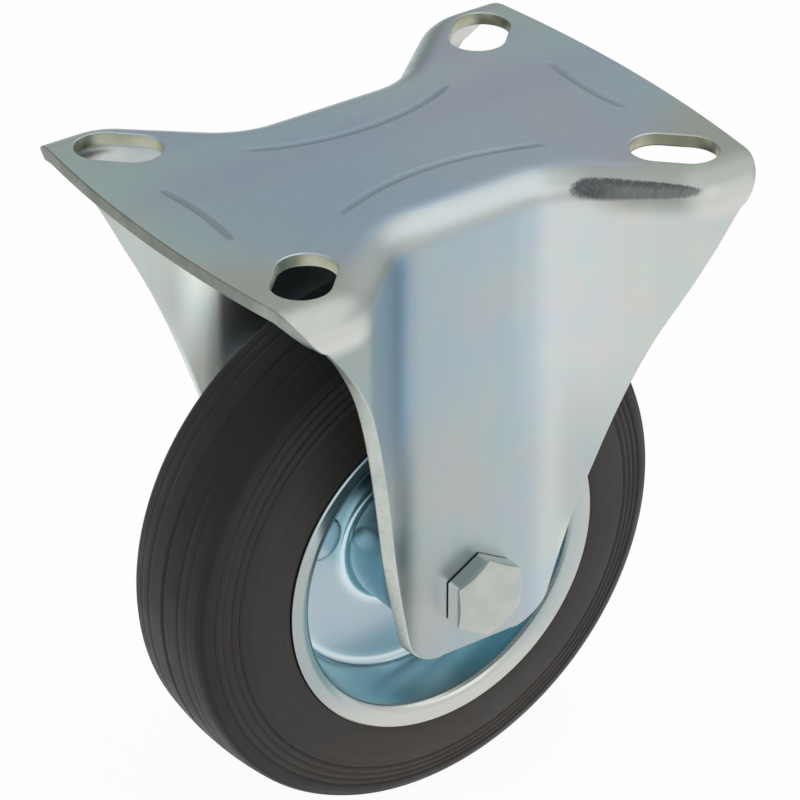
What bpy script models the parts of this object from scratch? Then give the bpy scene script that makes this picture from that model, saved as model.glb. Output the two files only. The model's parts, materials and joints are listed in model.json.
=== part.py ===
"""Fixed castor with a pressed steel bracket and a rubber-tyred wheel.

The wheel turns on a caged roller bearing round a sleeve, which a hexagon bolt and a lock nut
clamp between the legs of the bracket. Lengths are in metres. The origin is the centre of the
top plate's upper face, +Z is up, the wheel rolls along X and its axle lies along Y.
"""
import math

import bmesh
import bpy
from mathutils import Matrix

# Fits between pieces
SEAT_GAP = 0.0003            # between pieces that touch on the real castor
RUNNING_GAP = 0.00025        # beside a roller
MERGE_DISTANCE = 0.000001    # closes the seam of a turned or lofted mesh
CUT_MARGIN = 0.001           # how far stock runs past the face that trims it

# Tyre, in the wheel's own terms
WHEEL_DIAMETER = 0.100
TREAD_HALF_WIDTH = 0.0104    # crown out to the shoulder
CROWN_RADIUS = 0.060         # across the tread
SHOULDER_DROP = 0.0012       # shoulder below the crown
TREAD_GROOVE_OFFSET = 0.0048
SIDE_WALL_START = 0.0141     # half width of the rubber beside the lip
SIDE_WALL_POWER = 1.55       # how the side wall curves in towards the tread
SIDE_GROOVE_SHARES = (0.54, 0.70)  # of the way from the lip to the crown
GROOVE_DEPTH = 0.00045
GROOVE_HALF_WIDTH = 0.00045

# Bracket: one pressing, a top plate with a drawn leg on each long side
WHEEL_CLEARANCE = 0.0267     # plate's upper face down to the tyre
PLATE_LENGTH = 0.1014        # along X, on the centre line
PLATE_END_SAG = 0.00225      # how far each curved end falls back at its corners
LOBE_WIDTH = 0.0815          # along Y, over the corners that carry the slots
BRACKET_SHEET = 0.0025
BEND_RADIUS = 0.0070         # outer face, where the plate turns down into a leg
LEG_SPAN = 0.0488            # over the flat outer faces of the two legs
FLAT_SHARE = 0.16            # half width of the leg's flat, as a share of the plate's length
FLANGE_ANGLE = math.radians(41)
FLANGE_FILLET = 0.014        # plan radius between the flat and the flared flange
LOBE_FILLET = 0.0135         # plan radius between the flange and the corner lobe
LEG_FOOT = 0.0113            # leg below the axle
FOOT_FILLET = 0.0075
LEG_HALF_WIDTH = 0.0165      # at the axle
LEG_TAPER = 0.245            # half width gained for each metre of height
FLARE_POWER = 4.5            # how suddenly the leg widens near its top
CORNER_REACH = 0.0057        # plate's corner past the top of the leg
CORNER_POWER = 0.7           # how the free edge rounds the plate's corner
SLOT_END_DISTANCE = 0.0125   # slot's centre in from the end of the plate
SLOT_SIDE_DISTANCE = 0.01305  # and in from the side of the lobe
SLOT_LENGTH = 0.0155
SLOT_WIDTH = 0.0102
SLOT_ANGLE = math.radians(45)

# Stiffening beads pressed down into the plate, round its middle
BEAD_DEPTH = 0.0004
SIDE_BEAD_WIDTH = 0.0018
END_BEAD_WIDTH = 0.0024
BEAD_END_POWER = 6           # how suddenly a bead runs out at its ends
SIDE_BEAD_LENGTH = 0.044     # along the legs
SIDE_BEAD_OFFSET = 0.0090    # from the centre line, at the bead's middle
SIDE_BEAD_RISE = 0.0052
END_BEAD_LENGTH = 0.022
END_BEAD_DISTANCE = 0.0108   # in from the end of the plate
END_BEAD_RISE = 0.0010

# Axle bolt, lock nut and sleeve
BOLT_DIAMETER = 0.008
HEX_ACROSS_FLATS = 0.0132
HEAD_HEIGHT = 0.0038
HEX_CHAMFER = math.radians(28)
HEX_FACE_SHARE = 0.96        # round face of the head, as a share of its width
BOLT_CHAMFER = 0.0008
BOLT_TAIL = 0.0018           # thread that shows past the nut
NUT_HEX_HEIGHT = 0.0060
NUT_COLLAR_HEIGHT = 0.0020
NUT_COLLAR_RADIUS = 0.0060
NUT_COLLAR_CHAMFER = 0.0006
INSERT_RADIUS = 0.0052
INSERT_HEIGHT = 0.0022
SLEEVE_WALL = 0.0013

# Roller bearing, hub tube and the washers that close it
ROLLER_DIAMETER = 0.0032
ROLLER_CHAMFER = 0.00032
ROLLER_COUNT = 8
CAGE_RING = 0.0026           # length of each end ring of the cage
CAGE_RACE_GAP = 0.0005       # cage to sleeve and cage to hub
CAGE_END_GAP = 0.0008        # cage to retainer
HUB_WALL = 0.0013
HUB_SIDE_GAP = 0.0011        # retainer to leg
RETAINER_FLANGE = 0.0010
RETAINER_SPIGOT = 0.0018
RETAINER_WALL = 0.0010

# Pressed rim halves and their rivets
RIM_SHEET = 0.0012
RIM_WIDTH = 0.0295
LIP_SHARE = 0.652            # edge of the lip, as a share of the wheel's radius
LIP_HEIGHT = 0.0045          # lip's edge beyond the barrel
LIP_FILLET = 0.0016
WEB_FILLET = 0.0026
COLLAR_FILLET = 0.0020
HUB_SHOWN = 0.0030           # hub tube past the end of the collar
RIVET_COUNT = 3
RIVET_START = math.radians(164)
RIVET_CIRCLE_SHARE = 0.36    # of the way across the web's flat
RIVET_HEAD_SHARE = 0.333     # head's radius, as a share of the web's flat
RIVET_HEAD_HEIGHT = 0.0009
RIVET_SHANK_SHARE = 0.58     # shank's radius, as a share of the head's
RIVET_DOME_STEPS = 3
RIVET_DOME_ANGLE = math.radians(66)

# Facets
WHEEL_SEGMENTS = 48
RIM_SEGMENTS = 36
HUB_SEGMENTS = 22
SMALL_SEGMENTS = 16
ROLLER_SEGMENTS = 10
LEG_COLUMNS = 30             # across a leg, from one free edge to the other
FOOT_STEPS = 4
LEG_ROWS = 7
ROW_CROWDING = 1.6
BEND_ROWS = 5
PLATE_ROWS = (0.45, 1.0)     # shares of the way from the bend to the centre line
SLOT_STEPS = 10
BEAD_STEPS = 10
BEAD_SIDES = 16

# Bracket sizes worked out from those above
WHEEL_RADIUS = WHEEL_DIAMETER / 2
AXLE_DROP = WHEEL_RADIUS + WHEEL_CLEARANCE
AXLE = (0.0, 0.0, -AXLE_DROP)
LEG_FACE = LEG_SPAN / 2
LEG_INNER = LEG_FACE - BRACKET_SHEET
LEG_TOP = AXLE_DROP - BEND_RADIUS
CORNER_X = PLATE_LENGTH / 2 - PLATE_END_SAG
LEG_TOP_HALF_WIDTH = CORNER_X - CORNER_REACH
FLARE = LEG_TOP_HALF_WIDTH - LEG_HALF_WIDTH - LEG_TAPER * LEG_TOP
FLAT_CORNER = PLATE_LENGTH * FLAT_SHARE
SLOT_X = PLATE_LENGTH / 2 - SLOT_END_DISTANCE
SLOT_Y = LOBE_WIDTH / 2 - SLOT_SIDE_DISTANCE
END_BEAD_OFFSET = PLATE_LENGTH / 2 - END_BEAD_DISTANCE

# Bolt and bearing, out from the axle and along it
BOLT_RADIUS = BOLT_DIAMETER / 2
BOLT_HOLE_RADIUS = BOLT_RADIUS + SEAT_GAP
SLEEVE_RADIUS = BOLT_HOLE_RADIUS + SLEEVE_WALL
SLEEVE_HALF_LENGTH = LEG_INNER - SEAT_GAP
ROLLER_RADIUS = ROLLER_DIAMETER / 2
ROLLER_CIRCLE = SLEEVE_RADIUS + RUNNING_GAP + ROLLER_RADIUS
HUB_BORE = ROLLER_CIRCLE + ROLLER_RADIUS + RUNNING_GAP
HUB_RADIUS = HUB_BORE + HUB_WALL
HUB_HALF_LENGTH = LEG_INNER - HUB_SIDE_GAP - RETAINER_FLANGE - SEAT_GAP
CAGE_HALF_LENGTH = HUB_HALF_LENGTH - RETAINER_SPIGOT - CAGE_END_GAP
ROLLER_HALF_LENGTH = CAGE_HALF_LENGTH - CAGE_RING - SEAT_GAP
NUT_SEAT = LEG_FACE + SEAT_GAP
NUT_END = NUT_SEAT + NUT_HEX_HEIGHT + NUT_COLLAR_HEIGHT

# Rim and rivets
LIP_RADIUS = WHEEL_RADIUS * LIP_SHARE
BARREL_RADIUS = LIP_RADIUS - LIP_HEIGHT
RIM_HALF_WIDTH = RIM_WIDTH / 2
COLLAR_RADIUS = HUB_RADIUS + SEAT_GAP + RIM_SHEET
COLLAR_REACH = HUB_HALF_LENGTH - HUB_SHOWN
WEB_FACE = SEAT_GAP / 2 + RIM_SHEET
WEB_FLAT_START = COLLAR_RADIUS + COLLAR_FILLET
WEB_FLAT = BARREL_RADIUS - WEB_FILLET - WEB_FLAT_START
RIVET_CIRCLE_RADIUS = WEB_FLAT_START + WEB_FLAT * RIVET_CIRCLE_SHARE
RIVET_HEAD_RADIUS = WEB_FLAT * RIVET_HEAD_SHARE
RIVET_SHANK_RADIUS = RIVET_HEAD_RADIUS * RIVET_SHANK_SHARE


def clear_scene():
    for item in list(bpy.data.objects):
        bpy.data.objects.remove(item, do_unlink=True)


def material(name, color, metallic, roughness):
    made = bpy.data.materials.new(name)
    made.use_nodes = True
    shader = made.node_tree.nodes["Principled BSDF"]
    shader.inputs["Base Color"].default_value = (*color, 1.0)
    shader.inputs["Metallic"].default_value = metallic
    shader.inputs["Roughness"].default_value = roughness
    made.diffuse_color = (*color, 1.0)
    return made


def add_object(name, mesh, surface, parent=None, smooth_angle=math.radians(32)):
    """Object for a finished bmesh; the bmesh is freed."""
    data = bpy.data.meshes.new(name)
    mesh.to_mesh(data)
    mesh.free()
    data.shade_smooth()
    data.set_sharp_from_angle(angle=smooth_angle)
    if surface is not None:
        data.materials.append(surface)
    made = bpy.data.objects.new(name, data)
    bpy.context.collection.objects.link(made)
    made.parent = parent
    return made


def add_empty(name, location, parent=None):
    made = bpy.data.objects.new(name, None)
    bpy.context.collection.objects.link(made)
    made.location = location
    made.parent = parent
    return made


def as_cutter(item):
    item.hide_render = True
    item.display_type = "WIRE"
    return item


def add_boolean(item, other, operation):
    step = item.modifiers.new(operation.title(), "BOOLEAN")
    step.operation = operation
    step.solver = "EXACT"
    step.object = other


def turned(outline, segments, ring=True):
    """Mesh of (radius, distance along Y) points turned about Y.

    A ring's outline closes on itself; any other outline starts and ends on the axis.
    """
    mesh = bmesh.new()
    points = [mesh.verts.new((radius, along, 0.0)) for radius, along in outline]
    edges = [mesh.edges.new(pair) for pair in zip(points, points[1:])]
    if ring:
        edges.append(mesh.edges.new((points[-1], points[0])))
    bmesh.ops.spin(mesh, geom=points + edges, cent=(0, 0, 0), axis=(0, 1, 0),
                   angle=2 * math.pi, steps=segments, use_duplicate=False)
    bmesh.ops.remove_doubles(mesh, verts=mesh.verts, dist=MERGE_DISTANCE)
    bmesh.ops.recalc_face_normals(mesh, faces=mesh.faces)
    return mesh


def tube_outline(inner, outer, start, end):
    return [(outer, end), (inner, end), (inner, start), (outer, start)]


def rod_outline(radius, start, end, chamfer):
    """Half section of a round bar with a chamfer at each end."""
    return [(0.0, end), (radius - chamfer, end), (radius, end - chamfer),
            (radius, start + chamfer), (radius - chamfer, start), (0.0, start)]


def filleted(corners, radii, steps=2):
    """Open outline through the corners, each inner corner rounded to its radius."""
    path = [corners[0]]
    for before, corner, after, radius in zip(corners, corners[1:], corners[2:], radii):
        into = direction(before, corner)
        out = direction(corner, after)
        turn = math.atan2(into[0] * out[1] - into[1] * out[0], into[0] * out[0] + into[1] * out[1])
        reach = radius * math.tan(abs(turn) / 2)
        side = math.copysign(1.0, turn)
        start = (corner[0] - into[0] * reach, corner[1] - into[1] * reach)
        centre = (start[0] - into[1] * radius * side, start[1] + into[0] * radius * side)
        for step in range(steps + 1):
            angle = turn * step / steps
            arm = (start[0] - centre[0], start[1] - centre[1])
            path.append((centre[0] + arm[0] * math.cos(angle) - arm[1] * math.sin(angle),
                         centre[1] + arm[0] * math.sin(angle) + arm[1] * math.cos(angle)))
    path.append(corners[-1])
    return path


def direction(start, end):
    run, rise = end[0] - start[0], end[1] - start[1]
    length = math.hypot(run, rise)
    return run / length, rise / length


def offset_left(path, distance):
    """The outline moved sideways, to the left of its direction."""
    moved = []
    for index, point in enumerate(path):
        before = path[max(index - 1, 0)]
        after = path[min(index + 1, len(path) - 1)]
        into = direction(before, point) if index else direction(point, after)
        out = direction(point, after) if index < len(path) - 1 else into
        normal = (-(into[1] + out[1]), into[0] + out[0])
        scale = distance * 2 / (normal[0] ** 2 + normal[1] ** 2)
        moved.append((point[0] + normal[0] * scale, point[1] + normal[1] * scale))
    return moved


def leg_plan(x):
    """Outer face of a leg seen from above: its distance from the centre line and its normal."""
    half = abs(x)
    lobe = LOBE_WIDTH / 2
    flat_end = FLAT_CORNER - FLANGE_FILLET * math.tan(FLANGE_ANGLE / 2)
    curve_end = flat_end + FLANGE_FILLET * math.sin(FLANGE_ANGLE)
    line_end_y = lobe - LOBE_FILLET * (1 - math.cos(FLANGE_ANGLE))
    line_end = FLAT_CORNER + (line_end_y - LEG_FACE) / math.tan(FLANGE_ANGLE)
    lobe_start = line_end + LOBE_FILLET * math.sin(FLANGE_ANGLE)
    if half <= flat_end:
        y, slope = LEG_FACE, 0.0
    elif half <= curve_end:
        slope = math.asin((half - flat_end) / FLANGE_FILLET)
        y = LEG_FACE + FLANGE_FILLET * (1 - math.cos(slope))
    elif half <= line_end:
        slope = FLANGE_ANGLE
        y = LEG_FACE + (half - FLAT_CORNER) * math.tan(FLANGE_ANGLE)
    elif half <= lobe_start:
        slope = math.asin((lobe_start - half) / LOBE_FILLET)
        y = lobe - LOBE_FILLET * (1 - math.cos(slope))
    else:
        y, slope = lobe, 0.0
    return y, (-math.copysign(math.sin(slope), x), math.cos(slope))


def leg_outline():
    """Free edge of a leg, foot to bend: rows of (height above the axle, half width)."""
    taper = math.atan(LEG_TAPER)
    centre_z = FOOT_FILLET - LEG_FOOT
    centre_x = LEG_HALF_WIDTH + LEG_TAPER * centre_z - FOOT_FILLET / math.cos(taper)
    rows = []
    for step in range(FOOT_STEPS + 1):
        angle = -math.pi / 2 + (math.pi / 2 - taper) * step / FOOT_STEPS
        rows.append((centre_z + FOOT_FILLET * math.sin(angle), centre_x + FOOT_FILLET * math.cos(angle)))
    start = rows[-1][0]
    for step in range(1, LEG_ROWS + 1):
        # The rows close up towards the flared top
        share = 1 - (1 - step / LEG_ROWS) ** ROW_CROWDING
        z = start + (LEG_TOP - start) * share
        rows.append((z, free_edge(z)))
    return rows


def free_edge(z):
    """Half width of a leg at a height above the axle."""
    flare = FLARE * max(z / LEG_TOP, 0.0) ** FLARE_POWER
    return LEG_HALF_WIDTH + LEG_TAPER * z + flare


def bracket_row(share_to_points):
    """One row of the pressing from free edge to free edge."""
    return [share_to_points(2 * column / LEG_COLUMNS - 1) for column in range(LEG_COLUMNS + 1)]


def wall_point(x, z):
    y, normal = leg_plan(x)
    outer = (x, y, z - AXLE_DROP)
    inner = (x - normal[0] * BRACKET_SHEET, y - normal[1] * BRACKET_SHEET, z - AXLE_DROP)
    return outer, inner


def bend_point(x, angle):
    """Point of the bend; angle is 90 degrees at the leg and 0 at the plate."""
    y, normal = leg_plan(x)
    inner_radius = BEND_RADIUS - BRACKET_SHEET
    outer_in = BEND_RADIUS * (1 - math.sin(angle))
    inner_in = BEND_RADIUS - inner_radius * math.sin(angle)
    outer = (x - normal[0] * outer_in, y - normal[1] * outer_in, BEND_RADIUS * (math.cos(angle) - 1))
    inner = (x - normal[0] * inner_in, y - normal[1] * inner_in,
             inner_radius * math.cos(angle) - BEND_RADIUS)
    return outer, inner


def half_bracket_rows():
    """Rows of (outer, inner) points from the foot of the +Y leg to the plate's centre line."""
    rows = []
    for z, half_width in leg_outline():
        rows.append(bracket_row(lambda share, z=z, w=half_width: wall_point(share * w, z)))
    for step in range(1, BEND_ROWS + 1):
        angle = math.pi / 2 * (1 - step / BEND_ROWS)
        half_width = LEG_TOP_HALF_WIDTH + CORNER_REACH * math.cos(angle) ** CORNER_POWER
        rows.append(bracket_row(lambda share, a=angle, w=half_width: bend_point(share * w, a)))
    last = rows[-1]
    for share_in in PLATE_ROWS:
        row = []
        for column, (outer, _) in enumerate(last):
            share = 2 * column / LEG_COLUMNS - 1
            # The plate's end is an arc: it reaches full length on the centre line
            along = 1 - (1 - share_in) ** 2
            x = outer[0] + (share * PLATE_LENGTH / 2 - outer[0]) * along
            y = outer[1] * (1 - share_in)
            row.append(((x, y, 0.0), (x, y, -BRACKET_SHEET)))
        rows.append(row)
    return rows


def bracket_mesh():
    """Both faces of the bent sheet, closed by a strip round its free edge."""
    half = half_bracket_rows()
    mirrored = [[((o[0], -o[1], o[2]), (i[0], -i[1], i[2])) for o, i in row] for row in half[:-1]]
    rows = half + mirrored[::-1]
    mesh = bmesh.new()
    outer = [[mesh.verts.new(point[0]) for point in row] for row in rows]
    inner = [[mesh.verts.new(point[1]) for point in row] for row in rows]
    for grid in (outer, inner):
        for low, high in zip(grid, grid[1:]):
            for corner in range(LEG_COLUMNS):
                mesh.faces.new((low[corner], low[corner + 1], high[corner + 1], high[corner]))
    rim_outer = edge_loop(outer)
    rim_inner = edge_loop(inner)
    for index, point in enumerate(rim_outer):
        mesh.faces.new((point, rim_outer[index - 1], rim_inner[index - 1], rim_inner[index]))
    bmesh.ops.recalc_face_normals(mesh, faces=mesh.faces)
    return mesh


def edge_loop(grid):
    """The grid's border, once round."""
    bottom = grid[0]
    right = [row[-1] for row in grid[1:-1]]
    top = grid[-1][::-1]
    left = [row[0] for row in grid[1:-1]][::-1]
    return bottom + right + top + left


def stadium_cutter(name, length, width, depth):
    """Upright slot cutter centred on the origin, its length along X."""
    mesh = bmesh.new()
    reach = (length - width) / 2
    loop = []
    for centre_x, start in ((reach, -math.pi / 2), (-reach, math.pi / 2)):
        for step in range(SLOT_STEPS + 1):
            angle = start + math.pi * step / SLOT_STEPS
            x = centre_x + width / 2 * math.cos(angle)
            loop.append(mesh.verts.new((x, width / 2 * math.sin(angle), -depth / 2)))
    floor = mesh.faces.new(loop)
    raised = bmesh.ops.extrude_face_region(mesh, geom=[floor])["geom"]
    corners = [part for part in raised if isinstance(part, bmesh.types.BMVert)]
    bmesh.ops.translate(mesh, verts=corners, vec=(0, 0, depth))
    bmesh.ops.recalc_face_normals(mesh, faces=mesh.faces)
    return as_cutter(add_object(name, mesh, None))


def bead_cutter(name, length, width, offset, rise, turn):
    """Curved round bar that presses a shallow bead; its middle lies at the offset along +Y."""
    mesh = bmesh.new()
    radius = (width ** 2 / 4 + BEAD_DEPTH ** 2) / (2 * BEAD_DEPTH)
    rings = []
    for step in range(BEAD_STEPS + 1):
        share = 2 * step / BEAD_STEPS - 1
        x = share * length / 2
        y = offset + rise * share ** 2
        # The bar lifts out of the plate at both ends of the bead
        lift = BEAD_DEPTH * abs(share) ** BEAD_END_POWER
        ring = []
        for side in range(BEAD_SIDES):
            angle = 2 * math.pi * side / BEAD_SIDES
            z = radius - BEAD_DEPTH + lift + radius * math.sin(angle)
            ring.append(mesh.verts.new((x, y + radius * math.cos(angle), z)))
        rings.append(ring)
    for low, high in zip(rings, rings[1:]):
        for side in range(BEAD_SIDES):
            after = (side + 1) % BEAD_SIDES
            mesh.faces.new((low[side], low[after], high[after], high[side]))
    mesh.faces.new(rings[0][::-1])
    mesh.faces.new(rings[-1])
    bmesh.ops.rotate(mesh, verts=mesh.verts, cent=(0, 0, 0), matrix=Matrix.Rotation(turn, 3, "Z"))
    bmesh.ops.recalc_face_normals(mesh, faces=mesh.faces)
    return as_cutter(add_object(name, mesh, None))


def make_bracket(surface):
    bracket = add_object("bracket", bracket_mesh(), surface)
    for sign_x in (1, -1):
        for sign_y in (1, -1):
            slot = stadium_cutter("slot_cutter", SLOT_LENGTH, SLOT_WIDTH, 6 * BRACKET_SHEET)
            slot.location = (sign_x * SLOT_X, sign_y * SLOT_Y, 0)
            slot.rotation_euler.z = sign_x * sign_y * SLOT_ANGLE
            add_boolean(bracket, slot, "DIFFERENCE")
    hole = turned(rod_outline(BOLT_HOLE_RADIUS, -LEG_SPAN, LEG_SPAN, SEAT_GAP), SMALL_SEGMENTS, ring=False)
    hole_cutter = as_cutter(add_object("axle_hole_cutter", hole, None))
    hole_cutter.location = AXLE
    add_boolean(bracket, hole_cutter, "DIFFERENCE")
    side = (SIDE_BEAD_LENGTH, SIDE_BEAD_WIDTH, SIDE_BEAD_OFFSET, SIDE_BEAD_RISE)
    end = (END_BEAD_LENGTH, END_BEAD_WIDTH, END_BEAD_OFFSET, END_BEAD_RISE)
    for name, sizes, turn in (("side_bead", side, 0), ("end_bead", end, math.pi / 2)):
        for half_turn in (0, math.pi):
            cutter = bead_cutter(name + "_cutter", *sizes, turn + half_turn)
            add_boolean(bracket, cutter, "DIFFERENCE")
    return bracket


def hexagon_mesh(across_flats, start, end):
    """Hexagonal prism along Y with two upright flats."""
    mesh = bmesh.new()
    corner = across_flats / math.sqrt(3)
    loop = []
    for step in range(6):
        angle = math.radians(30 + 60 * step)
        loop.append(mesh.verts.new((corner * math.cos(angle), start, corner * math.sin(angle))))
    face = mesh.faces.new(loop)
    raised = bmesh.ops.extrude_face_region(mesh, geom=[face])["geom"]
    corners = [part for part in raised if isinstance(part, bmesh.types.BMVert)]
    bmesh.ops.translate(mesh, verts=corners, vec=(0, end - start, 0))
    bmesh.ops.recalc_face_normals(mesh, faces=mesh.faces)
    return mesh


def chamfer_cone(name, across_flats, face, inward):
    """Turned body whose cone trims a hexagon's corners at one face."""
    flat = across_flats / 2 * HEX_FACE_SHARE
    reach = across_flats
    far = face + inward * reach * 2
    slope_end = face + inward * reach * math.tan(HEX_CHAMFER)
    outline = [(0.0, face), (flat, face), (flat + reach, slope_end), (flat + reach, far), (0.0, far)]
    cutter = add_object(name, turned(outline, SMALL_SEGMENTS, ring=False), None)
    return as_cutter(cutter)


def make_bolt(surface):
    """Hexagon bolt: the head outside the -Y leg, the plain shank through to the nut."""
    seat = -(LEG_FACE + SEAT_GAP)
    head_face = seat - HEAD_HEIGHT
    stock = hexagon_mesh(HEX_ACROSS_FLATS, head_face - CUT_MARGIN, seat)
    bolt = add_object("axle_bolt", stock, surface)
    bolt.location = AXLE
    cone = chamfer_cone("bolt_head_cone", HEX_ACROSS_FLATS, head_face, 1)
    cone.location = AXLE
    add_boolean(bolt, cone, "INTERSECT")
    tip = NUT_END + BOLT_TAIL
    root = seat - HEAD_HEIGHT / 2
    outline = [(0.0, tip), (BOLT_RADIUS - BOLT_CHAMFER, tip), (BOLT_RADIUS, tip - BOLT_CHAMFER),
               (BOLT_RADIUS, root), (0.0, root)]
    shank = as_cutter(add_object("bolt_shank", turned(outline, SMALL_SEGMENTS, ring=False), None))
    shank.location = AXLE
    add_boolean(bolt, shank, "UNION")
    return bolt


def make_nut(steel, nylon):
    """Lock nut outside the +Y leg, and the nylon ring held in its collar."""
    hex_end = NUT_SEAT + NUT_HEX_HEIGHT
    stock = hexagon_mesh(HEX_ACROSS_FLATS, NUT_SEAT - CUT_MARGIN, hex_end + CUT_MARGIN)
    nut = add_object("lock_nut", stock, steel)
    nut.location = AXLE
    for name, face, inward in (("nut_seat_cone", NUT_SEAT, 1), ("nut_top_cone", hex_end, -1)):
        cone = chamfer_cone(name, HEX_ACROSS_FLATS, face, inward)
        cone.location = AXLE
        add_boolean(nut, cone, "INTERSECT")
    edge = NUT_COLLAR_CHAMFER
    collar = [(0.0, NUT_END), (NUT_COLLAR_RADIUS - edge, NUT_END), (NUT_COLLAR_RADIUS, NUT_END - edge),
              (NUT_COLLAR_RADIUS, hex_end - edge), (0.0, hex_end - edge)]
    collar_body = as_cutter(add_object("nut_collar", turned(collar, SMALL_SEGMENTS, ring=False), None))
    collar_body.location = AXLE
    add_boolean(nut, collar_body, "UNION")
    lip = BOLT_HOLE_RADIUS
    pocket = INSERT_RADIUS + SEAT_GAP
    outer_lip = NUT_END - edge
    inner_end = outer_lip - INSERT_HEIGHT - 2 * SEAT_GAP
    past = BOLT_DIAMETER
    bore = [(0.0, NUT_END + past), (lip + SEAT_GAP, NUT_END + past), (lip + SEAT_GAP, outer_lip),
            (pocket, outer_lip), (pocket, inner_end), (lip, inner_end), (lip, NUT_SEAT - past),
            (0.0, NUT_SEAT - past)]
    bore_cutter = as_cutter(add_object("nut_bore", turned(bore, SMALL_SEGMENTS, ring=False), None))
    bore_cutter.location = AXLE
    add_boolean(nut, bore_cutter, "DIFFERENCE")
    ring = tube_outline(BOLT_HOLE_RADIUS, INSERT_RADIUS, inner_end + SEAT_GAP, outer_lip - SEAT_GAP)
    insert = add_object("nylon_insert", turned(ring, SMALL_SEGMENTS), nylon)
    insert.location = AXLE


def make_sleeve(surface):
    outline = tube_outline(BOLT_HOLE_RADIUS, SLEEVE_RADIUS, -SLEEVE_HALF_LENGTH, SLEEVE_HALF_LENGTH)
    sleeve = add_object("axle_sleeve", turned(outline, HUB_SEGMENTS), surface)
    sleeve.location = AXLE


def rim_half_outline():
    """Closed section of one pressed half, on the +Y side of the middle plane."""
    corners = [(LIP_RADIUS, RIM_HALF_WIDTH), (BARREL_RADIUS, RIM_HALF_WIDTH), (BARREL_RADIUS, WEB_FACE),
               (COLLAR_RADIUS, WEB_FACE), (COLLAR_RADIUS, COLLAR_REACH)]
    shown = filleted(corners, (LIP_FILLET, WEB_FILLET, COLLAR_FILLET))
    hidden = offset_left(shown, RIM_SHEET)
    return shown + hidden[::-1]


def make_rim(surface, parent):
    """Two halves back to back, with a clearance hole for each rivet."""
    halves = []
    for name, side in (("rim_front", -1), ("rim_rear", 1)):
        outline = [(radius, side * along) for radius, along in rim_half_outline()]
        halves.append(add_object(name, turned(outline, RIM_SEGMENTS), surface, parent))
    for number in range(RIVET_COUNT):
        reach = RIM_SHEET * 4
        bar = rod_outline(RIVET_SHANK_RADIUS + SEAT_GAP, -reach, reach, SEAT_GAP)
        drill = as_cutter(add_object("rivet_hole", turned(bar, SMALL_SEGMENTS, ring=False), None, parent))
        drill.location = rivet_place(number)
        for half in halves:
            add_boolean(half, drill, "DIFFERENCE")


def rivet_place(number):
    angle = RIVET_START + 2 * math.pi * number / RIVET_COUNT
    return RIVET_CIRCLE_RADIUS * math.cos(angle), 0.0, RIVET_CIRCLE_RADIUS * math.sin(angle)


def make_rivets(surface, parent):
    """Rivets through both webs, with a low rounded head on each side."""
    seat = WEB_FACE + SEAT_GAP
    dome = []
    for step in range(RIVET_DOME_STEPS + 1):
        angle = RIVET_DOME_ANGLE * step / RIVET_DOME_STEPS
        dome.append((RIVET_HEAD_RADIUS * math.cos(angle), seat + RIVET_HEAD_HEIGHT * math.sin(angle)))
    upper = [(0.0, seat + RIVET_HEAD_HEIGHT)] + dome[::-1] + [(RIVET_SHANK_RADIUS, seat)]
    outline = upper + [(radius, -along) for radius, along in upper[::-1]]
    for number in range(RIVET_COUNT):
        name = "rivet_%d" % (number + 1)
        rivet = add_object(name, turned(outline, SMALL_SEGMENTS, ring=False), surface, parent)
        rivet.location = rivet_place(number)


def side_wall(radius):
    """Half width of the rubber at a radius beyond the lip."""
    share = (radius - LIP_RADIUS) / (WHEEL_RADIUS - SHOULDER_DROP - LIP_RADIUS)
    return SIDE_WALL_START - (SIDE_WALL_START - TREAD_HALF_WIDTH) * share ** SIDE_WALL_POWER


def tread(along):
    """Radius of the crowned tread at a distance from the wheel's middle plane."""
    return WHEEL_RADIUS - CROWN_RADIUS + math.sqrt(CROWN_RADIUS ** 2 - along ** 2)


def tyre_outline():
    """Closed section of the tyre: bore, bead behind the lip, side wall, shoulder and tread."""
    bore = BARREL_RADIUS + RIM_SHEET + SEAT_GAP
    bead_side = RIM_HALF_WIDTH - RIM_SHEET - SEAT_GAP
    lip_edge = LIP_RADIUS + SEAT_GAP
    half = [(bore, bead_side - LIP_FILLET), (bore + LIP_FILLET, bead_side), (lip_edge, bead_side)]
    half += [(lip_edge, side_wall(lip_edge) - SEAT_GAP), (lip_edge + SEAT_GAP, side_wall(lip_edge))]
    grooves = [LIP_RADIUS + (WHEEL_RADIUS - LIP_RADIUS) * share for share in SIDE_GROOVE_SHARES]
    half.append(((lip_edge + grooves[0]) / 2, side_wall((lip_edge + grooves[0]) / 2)))
    for radius in grooves:
        half.append((radius - GROOVE_HALF_WIDTH, side_wall(radius - GROOVE_HALF_WIDTH)))
        half.append((radius, side_wall(radius) - GROOVE_DEPTH))
        half.append((radius + GROOVE_HALF_WIDTH, side_wall(radius + GROOVE_HALF_WIDTH)))
    shoulder = WHEEL_RADIUS - SHOULDER_DROP
    half.append((shoulder - SHOULDER_DROP, side_wall(shoulder - SHOULDER_DROP)))
    half.append((shoulder, TREAD_HALF_WIDTH - SHOULDER_DROP / 4))
    outer_band = TREAD_HALF_WIDTH - SHOULDER_DROP
    half.append((tread(outer_band), outer_band))
    half.append((tread(TREAD_GROOVE_OFFSET), TREAD_GROOVE_OFFSET + GROOVE_HALF_WIDTH))
    half.append((tread(TREAD_GROOVE_OFFSET) - GROOVE_DEPTH, TREAD_GROOVE_OFFSET))
    half.append((tread(TREAD_GROOVE_OFFSET), TREAD_GROOVE_OFFSET - GROOVE_HALF_WIDTH))
    half.append((tread(TREAD_GROOVE_OFFSET / 2), TREAD_GROOVE_OFFSET / 2))
    return half + [(WHEEL_RADIUS, 0.0)] + [(radius, -along) for radius, along in half[::-1]]


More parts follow.
